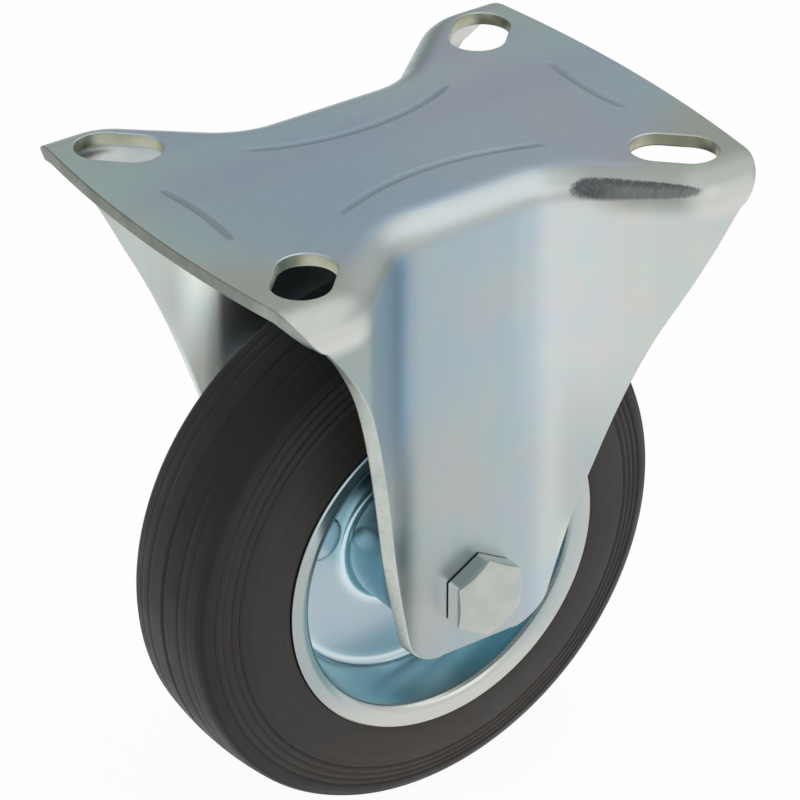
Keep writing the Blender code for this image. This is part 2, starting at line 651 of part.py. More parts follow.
def make_tyre(surface, parent):
    add_object("tyre", turned(tyre_outline(), WHEEL_SEGMENTS), surface, parent)


def make_hub(steel, plate, parent):
    """Hub tube and the flanged washer pressed into each of its ends."""
    end = HUB_HALF_LENGTH
    tube = turned(tube_outline(HUB_BORE, HUB_RADIUS, -end, end), HUB_SEGMENTS)
    add_object("hub_tube", tube, steel, parent)
    bore = SLEEVE_RADIUS + SEAT_GAP
    spigot = HUB_BORE - SEAT_GAP
    inner_face = end + SEAT_GAP
    outer_face = inner_face + RETAINER_FLANGE
    section = [(HUB_RADIUS, inner_face), (spigot, inner_face), (spigot, end - RETAINER_SPIGOT),
               (spigot - RETAINER_WALL, end - RETAINER_SPIGOT), (spigot - RETAINER_WALL, inner_face),
               (bore, inner_face), (bore, outer_face), (HUB_RADIUS, outer_face)]
    for name, side in (("retainer_front", -1), ("retainer_rear", 1)):
        outline = [(radius, side * along) for radius, along in section]
        add_object(name, turned(outline, HUB_SEGMENTS), plate, parent)


def make_cage(surface, parent):
    """Moulded cage: a tube with a through pocket for each roller."""
    inner = SLEEVE_RADIUS + CAGE_RACE_GAP
    outer = HUB_BORE - CAGE_RACE_GAP
    body = turned(tube_outline(inner, outer, -CAGE_HALF_LENGTH, CAGE_HALF_LENGTH), HUB_SEGMENTS)
    cage = add_object("roller_cage", body, surface, parent)
    half_width = ROLLER_RADIUS + RUNNING_GAP
    half_length = ROLLER_HALF_LENGTH + SEAT_GAP
    for number in range(ROLLER_COUNT):
        mesh = bmesh.new()
        bmesh.ops.create_cube(mesh, size=1.0)
        bmesh.ops.scale(mesh, verts=mesh.verts, vec=(outer, 2 * half_length, 2 * half_width))
        bmesh.ops.translate(mesh, verts=mesh.verts, vec=((outer + inner) / 2, 0, 0))
        turn = Matrix.Rotation(roller_angle(number), 3, "Y")
        bmesh.ops.rotate(mesh, verts=mesh.verts, cent=(0, 0, 0), matrix=turn)
        pocket = as_cutter(add_object("pocket_cutter", mesh, None, parent))
        add_boolean(cage, pocket, "DIFFERENCE")


def roller_angle(number):
    return 2 * math.pi * number / ROLLER_COUNT


def make_rollers(surface, parent):
    outline = rod_outline(ROLLER_RADIUS, -ROLLER_HALF_LENGTH, ROLLER_HALF_LENGTH, ROLLER_CHAMFER)
    for number in range(ROLLER_COUNT):
        angle = roller_angle(number)
        name = "roller_%d" % (number + 1)
        roller = add_object(name, turned(outline, ROLLER_SEGMENTS, ring=False), surface, parent)
        roller.location = (ROLLER_CIRCLE * math.cos(angle), 0, -ROLLER_CIRCLE * math.sin(angle))


def main():
    clear_scene()
    zinc = material("zinc_plated_steel", (0.62, 0.66, 0.67), 1.0, 0.28)
    rim_zinc = material("blue_zinc_rim", (0.42, 0.56, 0.62), 1.0, 0.22)
    bright_steel = material("bright_steel", (0.68, 0.69, 0.68), 1.0, 0.25)
    bearing_steel = material("bearing_steel", (0.55, 0.55, 0.56), 1.0, 0.15)
    rubber = material("black_rubber", (0.045, 0.042, 0.040), 0.0, 0.6)
    nylon = material("white_nylon", (0.80, 0.80, 0.76), 0.0, 0.45)
    cage_plastic = material("cage_plastic", (0.10, 0.10, 0.11), 0.0, 0.5)
    make_bracket(zinc)
    make_bolt(bright_steel)
    make_nut(bright_steel, nylon)
    make_sleeve(bearing_steel)
    wheel_axis = add_empty("wheel_axis", AXLE)
    make_tyre(rubber, wheel_axis)
    make_rim(rim_zinc, wheel_axis)
    make_rivets(rim_zinc, wheel_axis)
    make_hub(rim_zinc, bright_steel, wheel_axis)
    cage_axis = add_empty("cage_axis", AXLE)
    make_cage(cage_plastic, cage_axis)
    make_rollers(bearing_steel, cage_axis)


main()
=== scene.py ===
"""Looks of a fixed castor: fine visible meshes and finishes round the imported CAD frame.

Lengths are in metres, in the frame's own axes: +Z is up, the axle lies along Y, and the origin is
the centre of the top plate's upper face.
"""
import json
import math

import bmesh
import bpy
from mathutils import Matrix, Vector


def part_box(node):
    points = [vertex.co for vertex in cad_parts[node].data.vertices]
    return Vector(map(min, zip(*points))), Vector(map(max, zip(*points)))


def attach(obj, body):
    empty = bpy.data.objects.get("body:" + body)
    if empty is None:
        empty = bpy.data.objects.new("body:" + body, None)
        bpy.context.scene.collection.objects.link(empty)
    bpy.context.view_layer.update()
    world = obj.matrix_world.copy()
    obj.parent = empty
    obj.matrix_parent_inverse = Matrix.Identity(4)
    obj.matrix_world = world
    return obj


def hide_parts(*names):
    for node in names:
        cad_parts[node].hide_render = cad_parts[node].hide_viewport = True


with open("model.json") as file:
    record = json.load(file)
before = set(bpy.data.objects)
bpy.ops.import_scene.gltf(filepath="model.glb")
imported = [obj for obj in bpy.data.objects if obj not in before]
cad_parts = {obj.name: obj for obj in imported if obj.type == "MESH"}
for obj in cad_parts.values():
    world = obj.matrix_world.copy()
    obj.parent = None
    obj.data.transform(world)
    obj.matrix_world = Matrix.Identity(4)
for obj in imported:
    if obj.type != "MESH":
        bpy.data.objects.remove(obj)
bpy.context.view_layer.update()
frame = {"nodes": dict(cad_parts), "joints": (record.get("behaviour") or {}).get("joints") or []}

# Places read from the frame
AXLE = Vector(next(joint["pos_m"] for joint in frame["joints"] if joint["name"] == "wheel_spin"))
AXLE_DROP = -AXLE.z
PLATE_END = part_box("bracket")[1].x
LOBE_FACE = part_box("bracket")[1].y
LEG_FOOT = -AXLE_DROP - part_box("bracket")[0].z
TYRE_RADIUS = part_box("tyre")[1].x
TYRE_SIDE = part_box("tyre")[1].y
LIP_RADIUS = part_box("rim_front")[1].x
COLLAR_REACH = -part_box("rim_front")[0].y
HEAD_FACE = -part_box("axle_bolt")[0].y
BOLT_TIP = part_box("axle_bolt")[1].y
HEX_FLATS = 2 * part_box("axle_bolt")[1].x
NUT_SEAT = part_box("lock_nut")[0].y
NUT_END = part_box("lock_nut")[1].y
HUB_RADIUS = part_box("hub_tube")[1].x
HUB_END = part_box("hub_tube")[1].y
SLEEVE_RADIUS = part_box("axle_sleeve")[1].x
FLOOR_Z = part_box("tyre")[0].z

# Gap between pieces that touch on the real castor
SEAT_GAP = 0.0003
LIP_GAP = 0.00006

# Camera at the photograph's viewpoint
CAMERA_AZIMUTH = math.radians(-35.71)
CAMERA_ELEVATION = math.radians(30.90)
CAMERA_DISTANCE = 0.7764
CAMERA_AIM = Vector((0.0076, 0.0095, -0.0573))
CAMERA_LENS = 195.07
CAMERA_SENSOR = 36.0

# Pressed bracket
SHEET = 0.0025
EDGE_ROUND = 0.0003
BEND_RADIUS = 0.0070
LEG_FACE = NUT_SEAT - SEAT_GAP
FLAT_CORNER = 0.016224
FLANGE_ANGLE = math.radians(41)
FLANGE_FILLET = 0.014
LOBE_FILLET = 0.0135
FOOT_FILLET = 0.0075
LEG_HALF_WIDTH = 0.0165
LEG_TAPER = 0.245
FLARE = 0.0091735
FLARE_POWER = 4.5
CORNER_POWER = 0.7
PLATE_END_SAG = 0.00225
SLOT_X = 0.0382
SLOT_Y = 0.0277
SLOT_LENGTH = 0.0155
SLOT_WIDTH = 0.0102
SLOT_ANGLE = math.radians(45)
# Beads: length, width, depth, distance of the middle from the plate's centre, rise of the ends past it
SIDE_BEAD = (0.044, 0.0026, 0.00022, 0.0090, 0.0052)
END_BEAD = (0.022, 0.0023, 0.00028, PLATE_END - 0.0108, 0.0010)
AXLE_HOLE = 0.0043
# Bead cutters' edge and top above the plate; what counts as its flat face
BEAD_LIFT = 0.00001
CUTTER_TOP = 0.001
LEVEL_BAND = 0.00002
LEVEL_NORMAL = 0.99999
LEG_COLUMNS = 96
FOOT_ROWS = 10
LEG_ROWS = 34
BEND_ROWS = 14
PLATE_ROWS = 8

# Wheel
TREAD_HALF_WIDTH = 0.0104
CROWN_RADIUS = 0.060
SHOULDER_DROP = 0.0012
SIDE_WALL_POWER = 1.55
RIM_SHEET = 0.0012
RIM_HALF_WIDTH = 0.01475
BARREL_RADIUS = 0.0288
BARREL_FOOT_RADIUS = 0.0265
WEB_FACE = 0.00135
COLLAR_RADIUS = 0.0121
RIVET_CIRCLE = 0.018204
RIVET_START = math.radians(164)
RIVET_HEAD = 0.0044
RIVET_SHANK = 0.0022
RIVET_DOME = 0.0009
HUB_WALL = 0.0013
RETAINER_REACH = 0.0013
SOFT_SHARE = 0.22
WHEEL_SEGMENTS = 176
RIM_SEGMENTS = 144
HUB_SEGMENTS = 72
SIDE_STEP = 0.00022
TREAD_STEPS = 52
# Grooves of the side wall and the tread: place, depth and width
SIDE_RINGS = [(place, 0.00038, 0.00030) for place in (0.0420, 0.0434, 0.04478, 0.0461)]
TREAD_GROOVES = ((0.0, 0.00045, 0.00032), (0.0046, 0.00016, 0.00035), (0.0070, 0.00008, 0.00035))

# Fasteners
SHANK_RADIUS = 0.004
THREAD_REACH = 0.004
THREAD_ROOT = 0.00345
TIP_RADIUS = 0.0034
PITCH = 0.00125
NUT_COLLAR = (0.0060, 0.0046)
COLLAR_LENGTH = 0.0020
HEAD_STEPS = 96
HEAD_CHAMFER = math.radians(28)
HEAD_SMOOTH = math.radians(20)

# Tints of the zinc plate; the ramps run along X over the top plate and the -Y leg. The leg's ramps also
# hold painted light: a dark blue band down its -X fold, partly the zinc's blue and partly painted
# reflection, and painted highlights down its +X fold and near its free edges
PLATE_TINTS = [
    (-0.050, 0.47, 0.60, 0.60), (-0.036, 0.43, 0.54, 0.615), (-0.010, 0.415, 0.53, 0.625),
    (0.016, 0.465, 0.555, 0.632), (0.034, 0.47, 0.545, 0.625), (0.050, 0.45, 0.58, 0.645)]
PLATE_BANDS = [(0.007, (0.99, 0.95, 0.97)), (0.018, (1.04, 1.06, 0.99))]
BAND_HALF_WIDTH = 0.007
PLATE_CORNER = (0.485, 0.53, 0.475)
FAR_CORNER = (0.48, 0.59, 0.57)
CORNER_REACH = (0.037, 0.050)
# Painted shade in the beads' grooves
BEAD_PAINTED_SHADE = (0.74, 0.77, 0.78)
UPPER_LEG_TINTS_AND_PAINTED_LIGHT = [
    (-0.034, 0.36, 0.43, 0.42), (-0.029, 0.35, 0.48, 0.56), (-0.022, 0.31, 0.43, 0.54),
    (-0.0178, 0.255, 0.39, 0.505), (-0.0155, 0.31, 0.425, 0.52), (-0.0130, 0.395, 0.475, 0.51),
    (0.0, 0.44, 0.51, 0.54), (0.0065, 0.46, 0.535, 0.56), (0.0115, 0.54, 0.61, 0.64),
    (0.0145, 0.62, 0.68, 0.69), (0.030, 0.635, 0.655, 0.61), (0.045, 0.61, 0.62, 0.61)]
LOWER_LEG_TINTS_AND_PAINTED_LIGHT = [
    (-0.0245, 0.68, 0.70, 0.65), (-0.0205, 0.50, 0.54, 0.52), (-0.0180, 0.26, 0.30, 0.29),
    (-0.0163, 0.205, 0.245, 0.235), (-0.0145, 0.30, 0.35, 0.34), (-0.0128, 0.415, 0.46, 0.44),
    (-0.0100, 0.455, 0.49, 0.475), (0.004, 0.45, 0.51, 0.515), (0.0115, 0.48, 0.54, 0.565),
    (0.0150, 0.58, 0.64, 0.64), (0.0180, 0.50, 0.56, 0.57), (0.030, 0.50, 0.56, 0.55)]
# Painted light on a patch low on the near leg's +X fold
LEG_SPANDREL_PAINTED_LIGHT = (0.74, 0.78, 0.74)
LEG_CLOUDS = [(85.0, (0.96, 0.985, 1.02), (1.03, 1.0, 0.97)),
              (150.0, (1.02, 0.985, 1.0), (0.97, 1.01, 1.0))]
# Far leg: painted shade at the top, painted light at the foot, a painted highlight and painted shade
# inside
FAR_LEG_TOP_PAINTED_SHADE = (0.50, 0.55, 0.54)
FAR_LEG = (0.58, 0.61, 0.58)
FAR_LEG_FOOT_PAINTED_LIGHT = (0.74, 0.77, 0.73)
FAR_FOLD_PAINTED_HIGHLIGHT = (0.92, 0.99, 0.94)
FAR_SHADE = (0.66, 0.68, 0.71)
BEND_TINT = (0.48, 0.515, 0.495)
FAR_BEND_TINT = (0.39, 0.52, 0.52)
# Painted highlight low on the bends at the lobes
LOBE_PAINTED_HIGHLIGHT = (0.66, 0.67, 0.64)

# Heights and widths between which those tints change
UPPER_TO_LOWER = (-0.030, -0.058)
PLATE_TO_LEG = (-0.0004, -0.0050)
NEAR_TO_FAR = (-0.004, 0.004)
BEND_TOP = (0.0, -0.0008)
BEND_FOOT = (-0.0052, -0.0036)
LOBE_START = (0.030, 0.037)

# Tints of the rim: a ramp along its radius, with painted highlights on the fillets at the collar and at
# the barrel's foot, and the lip
RIM_TINTS_AND_PAINTED_LIGHT = [
    (0.0100, 0.55, 0.80, 0.88), (0.0122, 0.55, 0.80, 0.88), (0.0129, 0.66, 0.82, 0.88),
    (0.0136, 0.66, 0.76, 0.80), (0.0146, 0.48, 0.57, 0.62), (0.0168, 0.44, 0.53, 0.59),
    (0.0240, 0.47, 0.56, 0.62), (0.0252, 0.61, 0.70, 0.74), (0.0258, 0.64, 0.74, 0.78),
    (0.0264, 0.42, 0.56, 0.62), (0.0271, 0.36, 0.585, 0.65), (0.0340, 0.38, 0.61, 0.65)]
WEB_SHADE = (0.66, 0.76, 0.76)
# Painted light on the barrel's lower right
BARREL_PAINTED_LIGHT = (1.40, 1.28, 1.24)
LIP_INNER = (0.47, 0.52, 0.52)
LIP_OUTER = (0.53, 0.545, 0.52)
# Painted shade on the lip's left side and in its hollow there, painted light at its bottom and top
LIP_LEFT_PAINTED_SHADE = (0.42, 0.46, 0.46)
LIP_LOW_PAINTED_LIGHT = (0.60, 0.61, 0.575)
LIP_TOP_PAINTED_LIGHT = (0.56, 0.69, 0.70)
LIP_HOLLOW_PAINTED_SHADE = (0.20, 0.31, 0.32)

# Painted light and shade on three flats of the bolt's head: the left and upper right flats lighter, the
# upper left one darker; the mark is the distance from its axis where a flat starts
BOLT_LEFT_PAINTED_LIGHT = (0.97, 1.0, 0.98)
BOLT_UPPER_LEFT_PAINTED_SHADE = (0.40, 0.45, 0.45)
BOLT_UPPER_RIGHT_PAINTED_LIGHT = (0.66, 0.70, 0.67)
FLAT_START = (0.0060, 0.0064)

# Rubber, as it runs from the side walls to the tread
RUBBER_DARK = (0.028, 0.024, 0.021)
RUBBER_LIGHT = (0.034, 0.030, 0.026)
RUBBER_DUSTY = (0.046, 0.041, 0.036)
RUBBER_GRAIN = (0.07, 0.066, 0.062)
RING_SHADE = (0.82, 0.82, 0.82)
# The tread's near half is darker than its far half: painted shade
TREAD_NEAR_WITH_PAINTED_SHADE = (0.0060, 0.0050, 0.0054)
TREAD_FAR = (0.0120, 0.0110, 0.0114)

# Rubbed mark on the bend beside the slot at +X, -Y
MARK_PLACE = (0.0262, -0.0328, -0.0029)
MARK_TURN = math.radians(-31.4)
MARK_LENGTH = 0.0215
MARK_HEIGHT = 0.0019
MARK_GREY = (0.185, 0.20, 0.19)
MARK_DARK = (0.095, 0.108, 0.112)
MARK_TICK = (0.26, 0.28, 0.27)
MARK_GRAIN = (0.075, 0.082, 0.086)

# Room light by direction, from behind the object on the right to in front of it and above
ROOM_AXIS = (-0.20, -0.85, 0.35)
ROOM_FAR = -0.85
ROOM_NEAR = 0.45
ROOM_FAR_LEVEL = 0.45
ROOM_NEAR_LEVEL = 0.88

# Softbox, floor and the share of the floor's white that the camera sees whatever falls on it
SOFTBOX_PLACE = (0.42, -0.36, 0.84)
SOFTBOX_SIZE = (1.5, 1.0)
SOFTBOX_POWER = 2.45
FLOOR_HALF_SIZE = 3.0
FLOOR_GAP = 0.0002
FLOOR_COLOR = (0.86, 0.86, 0.86, 1)
FLOOR_WHITE_SHARE = 0.95
WHITE = (1, 1, 1, 1)


# Node building

class Graph:
    """A node tree that is built one call at a time."""

    def __init__(self, tree):
        self.tree = tree

    def node(self, kind, **settings):
        made = self.tree.nodes.new(kind)
        for key, value in settings.items():
            setattr(made, key, value)
        return made

    def plug(self, socket, value):
        if isinstance(value, bpy.types.NodeSocket):
            self.tree.links.new(value, socket)
        else:
            socket.default_value = value

    def build(self, kind, output, settings, **inputs):
        """An output of a new node, with its settings and the inputs that are named."""
        made = self.node(kind, **settings)
        for name, value in inputs.items():
            self.plug(made.inputs[name.replace("_", " ")], value)
        return made.outputs[output]

    def math(self, operation, first, second=0.0, clamp=False):
        made = self.node("ShaderNodeMath", operation=operation, use_clamp=clamp)
        for socket, value in zip(made.inputs, (first, second)):
            self.plug(socket, value)
        return made.outputs[0]

    def product(self, *values):
        total = values[0]
        for value in values[1:]:
            total = self.math("MULTIPLY", total, value)
        return total

    def size(self, value):
        return self.math("ABSOLUTE", value)

    def span(self, value, low, high, to_low=0.0, to_high=1.0, smooth=True):
        """Runs from to_low to to_high as the value goes from low to high."""
        return self.build("ShaderNodeMapRange", "Result",
                          {"interpolation_type": "SMOOTHSTEP" if smooth else "LINEAR"},
                          Value=value, From_Min=low, From_Max=high, To_Min=to_low, To_Max=to_high)

    def region(self, *limits):
        """Share that is one where each value has gone from its first limit to its second."""
        return self.product(*(self.span(*limit) for limit in limits))

    def show(self, output, share, first, second):
        """Shows the first shader, and the second one where the share is one."""
        blend = self.node("ShaderNodeMixShader")
        for socket, value in zip(blend.inputs, (share, first, second)):
            self.plug(socket, value)
        self.plug(self.node(output).inputs["Surface"], blend.outputs[0])


class Surface(Graph):
    """A Principled material with procedural inputs."""

    def __init__(self, name, color, metallic, roughness):
        self.material = bpy.data.materials.new(name)
        self.material.use_nodes = True
        super().__init__(self.material.node_tree)
        self.shader = self.tree.nodes["Principled BSDF"]
        for key, value in (("Base Color", (*color, 1.0)), ("Metallic", metallic),
                           ("Roughness", roughness)):
            self.shader.inputs[key].default_value = value
        self.material.diffuse_color = (*color, 1.0)
        coordinates = self.node("ShaderNodeTexCoord")
        self.place = coordinates.outputs["Object"]
        self.facing = coordinates.outputs["Normal"]

    def stretched(self, factors):
        return self.build("ShaderNodeMapping", 0, {}, Vector=self.place, Scale=factors)

    def noise(self, scale, detail=3.0, rough=0.5, vector=None, distortion=0.0):
        vector = self.place if vector is None else vector
        return self.build("ShaderNodeTexNoise", "Fac", {}, Vector=vector, Scale=scale, Detail=detail,
                          Roughness=rough, Distortion=distortion)

    def mix(self, share, first, second, blend="MIX"):
        """Goes from the first tint to the second; the share may be given as what a span takes."""
        made = self.node("ShaderNodeMix", data_type="RGBA", blend_type=blend)
        self.plug(made.inputs["Factor"], self.span(*share) if isinstance(share, tuple) else share)
        for socket, tint in zip(made.inputs[6:8], (first, second)):
            self.plug(socket, tint if isinstance(tint, bpy.types.NodeSocket) else (*tint, 1.0))
        return made.outputs[2]

    def shaded(self, share, tint, factors):
        """The tint, multiplied by the factors where the share is one."""
        return self.mix(share, tint, self.mix(1.0, tint, factors, "MULTIPLY"))

    def ramp(self, value, low, high, stops):
        """Colour that runs through (place, red, green, blue) stops as the value goes from low to high."""
        made = self.node("ShaderNodeValToRGB")
        self.plug(made.inputs["Fac"], self.span(value, low, high, smooth=False))
        made.color_ramp.interpolation = "CARDINAL"
        points = made.color_ramp.elements
        while len(points) < len(stops):
            points.new(0.5)
        for point, (place, *color) in zip(points, stops):
            point.position = (place - low) / (high - low)
            point.color = (*color, 1.0)
        return made.outputs["Color"]

    def split(self, vector):
        made = self.node("ShaderNodeSeparateXYZ")
        self.plug(made.inputs[0], vector)
        return made.outputs

    def distance(self, centre, factors=(1, 1, 1), mirrored=False):
        """Distance from a point, with each axis scaled; mirrored takes each coordinate's size."""
        place = self.place
        if mirrored:
            place = self.build("ShaderNodeVectorMath", "Vector", {"operation": "ABSOLUTE"}, Vector=place)
        moved_to = tuple(-c * f for c, f in zip(centre, factors))
        place = self.build("ShaderNodeMapping", 0, {}, Vector=place, Location=moved_to, Scale=factors)
        return self.build("ShaderNodeVectorMath", "Value", {"operation": "LENGTH"}, Vector=place)

    def wheel_radius(self):
        """Distance from the axle."""
        return self.distance(AXLE, (1, 0, 1))

    def ring_place(self, radial, across):
        """Texture place that changes along the wheel's radius and little round the wheel."""
        x, _, z = self.split(self.place)
        return self.build("ShaderNodeCombineXYZ", 0, {}, X=self.product(self.wheel_radius(), radial),
                          Y=self.product(x, across), Z=self.product(z, across))

    def color(self, socket):
        self.plug(self.shader.inputs["Base Color"], socket)

    def roughness(self, socket):
        self.plug(self.shader.inputs["Roughness"], socket)

    def bump(self, height, depth, strength=1.0):
        """Adds a height to the surface; calls stack."""
        normal = self.shader.inputs["Normal"]
        before = {"Normal": normal.links[0].from_socket} if normal.is_linked else {}
        self.plug(normal, self.build("ShaderNodeBump", 0, {}, Strength=strength, Distance=depth,
                                     Height=height, **before))


def zinc_finish():
    """Blue-passivated zinc on drawn sheet: satin, with a deeper blue band down one fold of the near leg
    that is partly the zinc's blue and partly painted reflection, and painted light and shade on the bends
    and legs.
    """
    zinc = Surface("zinc_plated_steel", (0.45, 0.52, 0.56), 1.0, 0.34)
    x, y, z = zinc.split(zinc.place)
    far_side = zinc.span(y, *NEAR_TO_FAR)
    leg = zinc.mix(far_side, near_leg_tint(zinc, x, z), far_leg_tint(zinc, x, z))
    cool = zinc.noise(30.0, vector=zinc.stretched((1.0, 1.0, 0.6)))
    leg = zinc.shaded((cool, 0.42, 0.62, 0.0, 0.5), leg, (0.92, 0.98, 1.04))
    for scale, low, high in LEG_CLOUDS:
        cloud = zinc.span(zinc.noise(scale, 2.0), 0.36, 0.64)
        leg = zinc.mix(1.0, leg, zinc.mix(cloud, low, high), "MULTIPLY")
    tint = zinc.mix((z, *PLATE_TO_LEG), plate_tint(zinc, x, y, z), leg)
    tint = bend_tint(zinc, tint, far_side, x, z)
    patchy = zinc.noise(48.0)
    tint = zinc.shaded((patchy, 0.50, 0.70, 0.0, 0.35), tint, (1.06, 1.0, 0.94))
    mark, dull = die_mark(zinc)
    zinc.color(zinc.mix(mark, tint, dull))
    streaks = zinc.noise(1.0, 3.0, 0.55, zinc.stretched((420, 420, 14)))
    rough = zinc.math("ADD", zinc.span(streaks, 0.3, 0.7, 0.31, 0.36),
                     zinc.span(patchy, 0.3, 0.7, 0.0, 0.03))
    zinc.roughness(zinc.math("ADD", rough, zinc.product(mark, 0.15)))
    zinc.bump(zinc.noise(16.0, 2.0, distortion=0.4), 0.0002, 0.15)
    zinc.bump(zinc.noise(2200.0, 3.0, 0.6), 0.000004, 0.05)
    return zinc.material


def plate_tint(zinc, x, y, z):
    """Top plate: teal, with two faint bands past the middle, olive near corners and painted shade in the
    beads.
    """
    plate = zinc.ramp(x, -0.050, 0.050, PLATE_TINTS)
    for middle, factors in PLATE_BANDS:
        offset = zinc.size(zinc.math("SUBTRACT", y, middle))
        plate = zinc.shaded((offset, BAND_HALF_WIDTH, 0.0), plate, factors)
    corner = zinc.span(zinc.distance((0, 0.004, 0), (0.8, 1.15, 0)), *CORNER_REACH)
    corner_tint = zinc.mix((y, -0.020, -0.008), PLATE_CORNER, FAR_CORNER)
    plate = zinc.mix(corner, plate, corner_tint)
    # Painted shade in the beads' grooves, weaker towards +X
    beads = zinc.region((zinc.size(y), 0.0162, 0.0158), (zinc.size(x), 0.0450, 0.0445),
                        (z, -0.00001, -0.00009), (z, -0.0010, -0.0006), (x, 0.030, 0.036, 1.0, 0.3))
    return zinc.shaded(beads, plate, BEAD_PAINTED_SHADE)


def near_leg_tint(zinc, x, z):
    """The -Y leg, from one free edge to the other, with painted reflection down its folds and near its
    free edges.
    """
    # These ramps paint a dark reflection down the -X fold and highlights down the +X fold and near the
    # free edges
    upper = zinc.ramp(x, -0.045, 0.045, UPPER_LEG_TINTS_AND_PAINTED_LIGHT)
    lower = zinc.ramp(x, -0.045, 0.045, LOWER_LEG_TINTS_AND_PAINTED_LIGHT)
    leg = zinc.mix((z, *UPPER_TO_LOWER), upper, lower)
    # Painted light: a lighter patch low on the +X fold
    return zinc.mix(zinc.region((x, 0.0158, 0.0180), (z, -0.066, -0.074)), leg, LEG_SPANDREL_PAINTED_LIGHT)


def far_leg_tint(zinc, x, z):
    """The +Y leg, with painted shade towards its top and painted light towards its foot; inside, a
    painted highlight up to the fold and painted shade past it, where the tyre's dark reflection falls.
    """
    # Painted shade towards the top, painted light towards the foot
    far = zinc.mix((z, -0.010, -0.024), FAR_LEG_TOP_PAINTED_SHADE, FAR_LEG)
    far = zinc.mix((z, -0.034, -0.046), far, FAR_LEG_FOOT_PAINTED_LIGHT)
    inside = (zinc.split(zinc.facing)[1], 0.0, -0.3)
    # Painted highlight on the inside up to the -X fold
    fold = zinc.region(inside, (x, -0.0270, -0.0232), (x, -0.0198, -0.0210))
    far = zinc.mix(fold, far, FAR_FOLD_PAINTED_HIGHLIGHT)
    # Painted shade on the inside past the fold, standing for the tyre's dark reflection
    past = zinc.region(inside, (x, -0.0208, -0.0196), (x, 0.0196, 0.0180))
    return zinc.shaded(past, far, FAR_SHADE)


def bend_tint(zinc, tint, far_side, x, z):
    """Gives the bends their own tint; painted shade dims the upper bend at the lobes and right of the
    middle, and a painted highlight lies lower down at the lobes.
    """
    bend = zinc.product(zinc.region((z, *BEND_TOP), (z, *BEND_FOOT)), 0.8)
    tint = zinc.mix(bend, tint, zinc.mix(far_side, BEND_TINT, FAR_BEND_TINT))
    lobe = zinc.span(zinc.size(x), *LOBE_START)
    beside = zinc.math("MAXIMUM", lobe, zinc.product(zinc.span(x, 0.012, 0.018), 0.85))
    upper = zinc.region((z, 0.0001, -0.0005), (z, -0.0031, -0.0018))
    lower = zinc.region((z, -0.0026, -0.0040), (z, -0.0090, -0.0062))
    # Painted shade on the upper bend, stronger towards +X
    upper_bend_painted_shade = zinc.mix((x, -0.020, 0.0), (0.88, 0.88, 0.86), (0.70, 0.71, 0.69))
    tint = zinc.shaded(zinc.product(beside, upper), tint, upper_bend_painted_shade)
    # Painted highlight low on the bend at the lobes
    return zinc.mix(zinc.product(lobe, lower), tint, LOBE_PAINTED_HIGHLIGHT)


def die_mark(zinc):
    """Share and tint of scuffed, dark metal on the bend beside a slot, where the die drew the sheet."""
    place = zinc.build("ShaderNodeMapping", 0, {"vector_type": "TEXTURE"}, Vector=zinc.place,
                       Location=MARK_PLACE, Rotation=(0, 0, MARK_TURN))
    along, across, height = zinc.split(place)
    ends = (-MARK_LENGTH / 2, MARK_LENGTH / 2)
    ticks = zinc.noise(1.0, 3.0, 0.6, zinc.stretched((2300, 2300, 380)))
    grain = zinc.noise(700.0, 3.0, 0.6)
    # The mark tapers towards its outer end, and its upper edge is the sharper one
    flat = zinc.span(along, *ends, 0.95 / MARK_HEIGHT, 1.9 / MARK_HEIGHT, smooth=False)
    drop = zinc.span(along, *ends, -0.0002, 0.0001, smooth=False)
    level = zinc.product(zinc.math("SUBTRACT", height, drop), flat)
    reach = zinc.math("POWER", zinc.size(zinc.product(along, 2 / MARK_LENGTH)), 3.5)
    rise = zinc.math("POWER", zinc.size(level), 2.0)
    total = zinc.math("ADD", zinc.math("ADD", reach, rise), zinc.span(ticks, 0.3, 0.7, -0.10, 0.10))
    near = zinc.span(across, -0.006, -0.004)
    below = zinc.span(level, 0.2, -0.8)
    edge = zinc.mix(below, zinc.span(total, 1.28, 0.80), zinc.span(total, 1.55, 0.45))
    share = zinc.math("MULTIPLY", edge, near, clamp=True)
    # Darker grey spreads below the mark and fades out downwards
    grey_below_mark = zinc.region((height, -0.0004, -0.0012), (height, -0.0052, -0.0012, 0.0, 0.50),
                        (along, -MARK_LENGTH * 0.45, -MARK_LENGTH * 0.05),
                        (along, MARK_LENGTH * 0.52, MARK_LENGTH * 0.30))
    share = zinc.math("MAXIMUM", share, zinc.product(grey_below_mark, near))
    dark_end = zinc.span(along, -0.05 * MARK_LENGTH, -0.36 * MARK_LENGTH)
    dark = zinc.math("MAXIMUM", dark_end, zinc.span(level, 0.05, 0.75))
    dark = zinc.product(dark, zinc.span(level, -1.1, -0.5))
    tint = zinc.mix(dark, MARK_GREY, MARK_DARK)
    tint = zinc.mix((ticks, 0.45, 0.70, 0.0, 0.35), tint, MARK_TICK)
    tint = zinc.mix((grain, 0.55, 0.75, 0.0, 0.45), tint, MARK_GRAIN)
    return share, tint


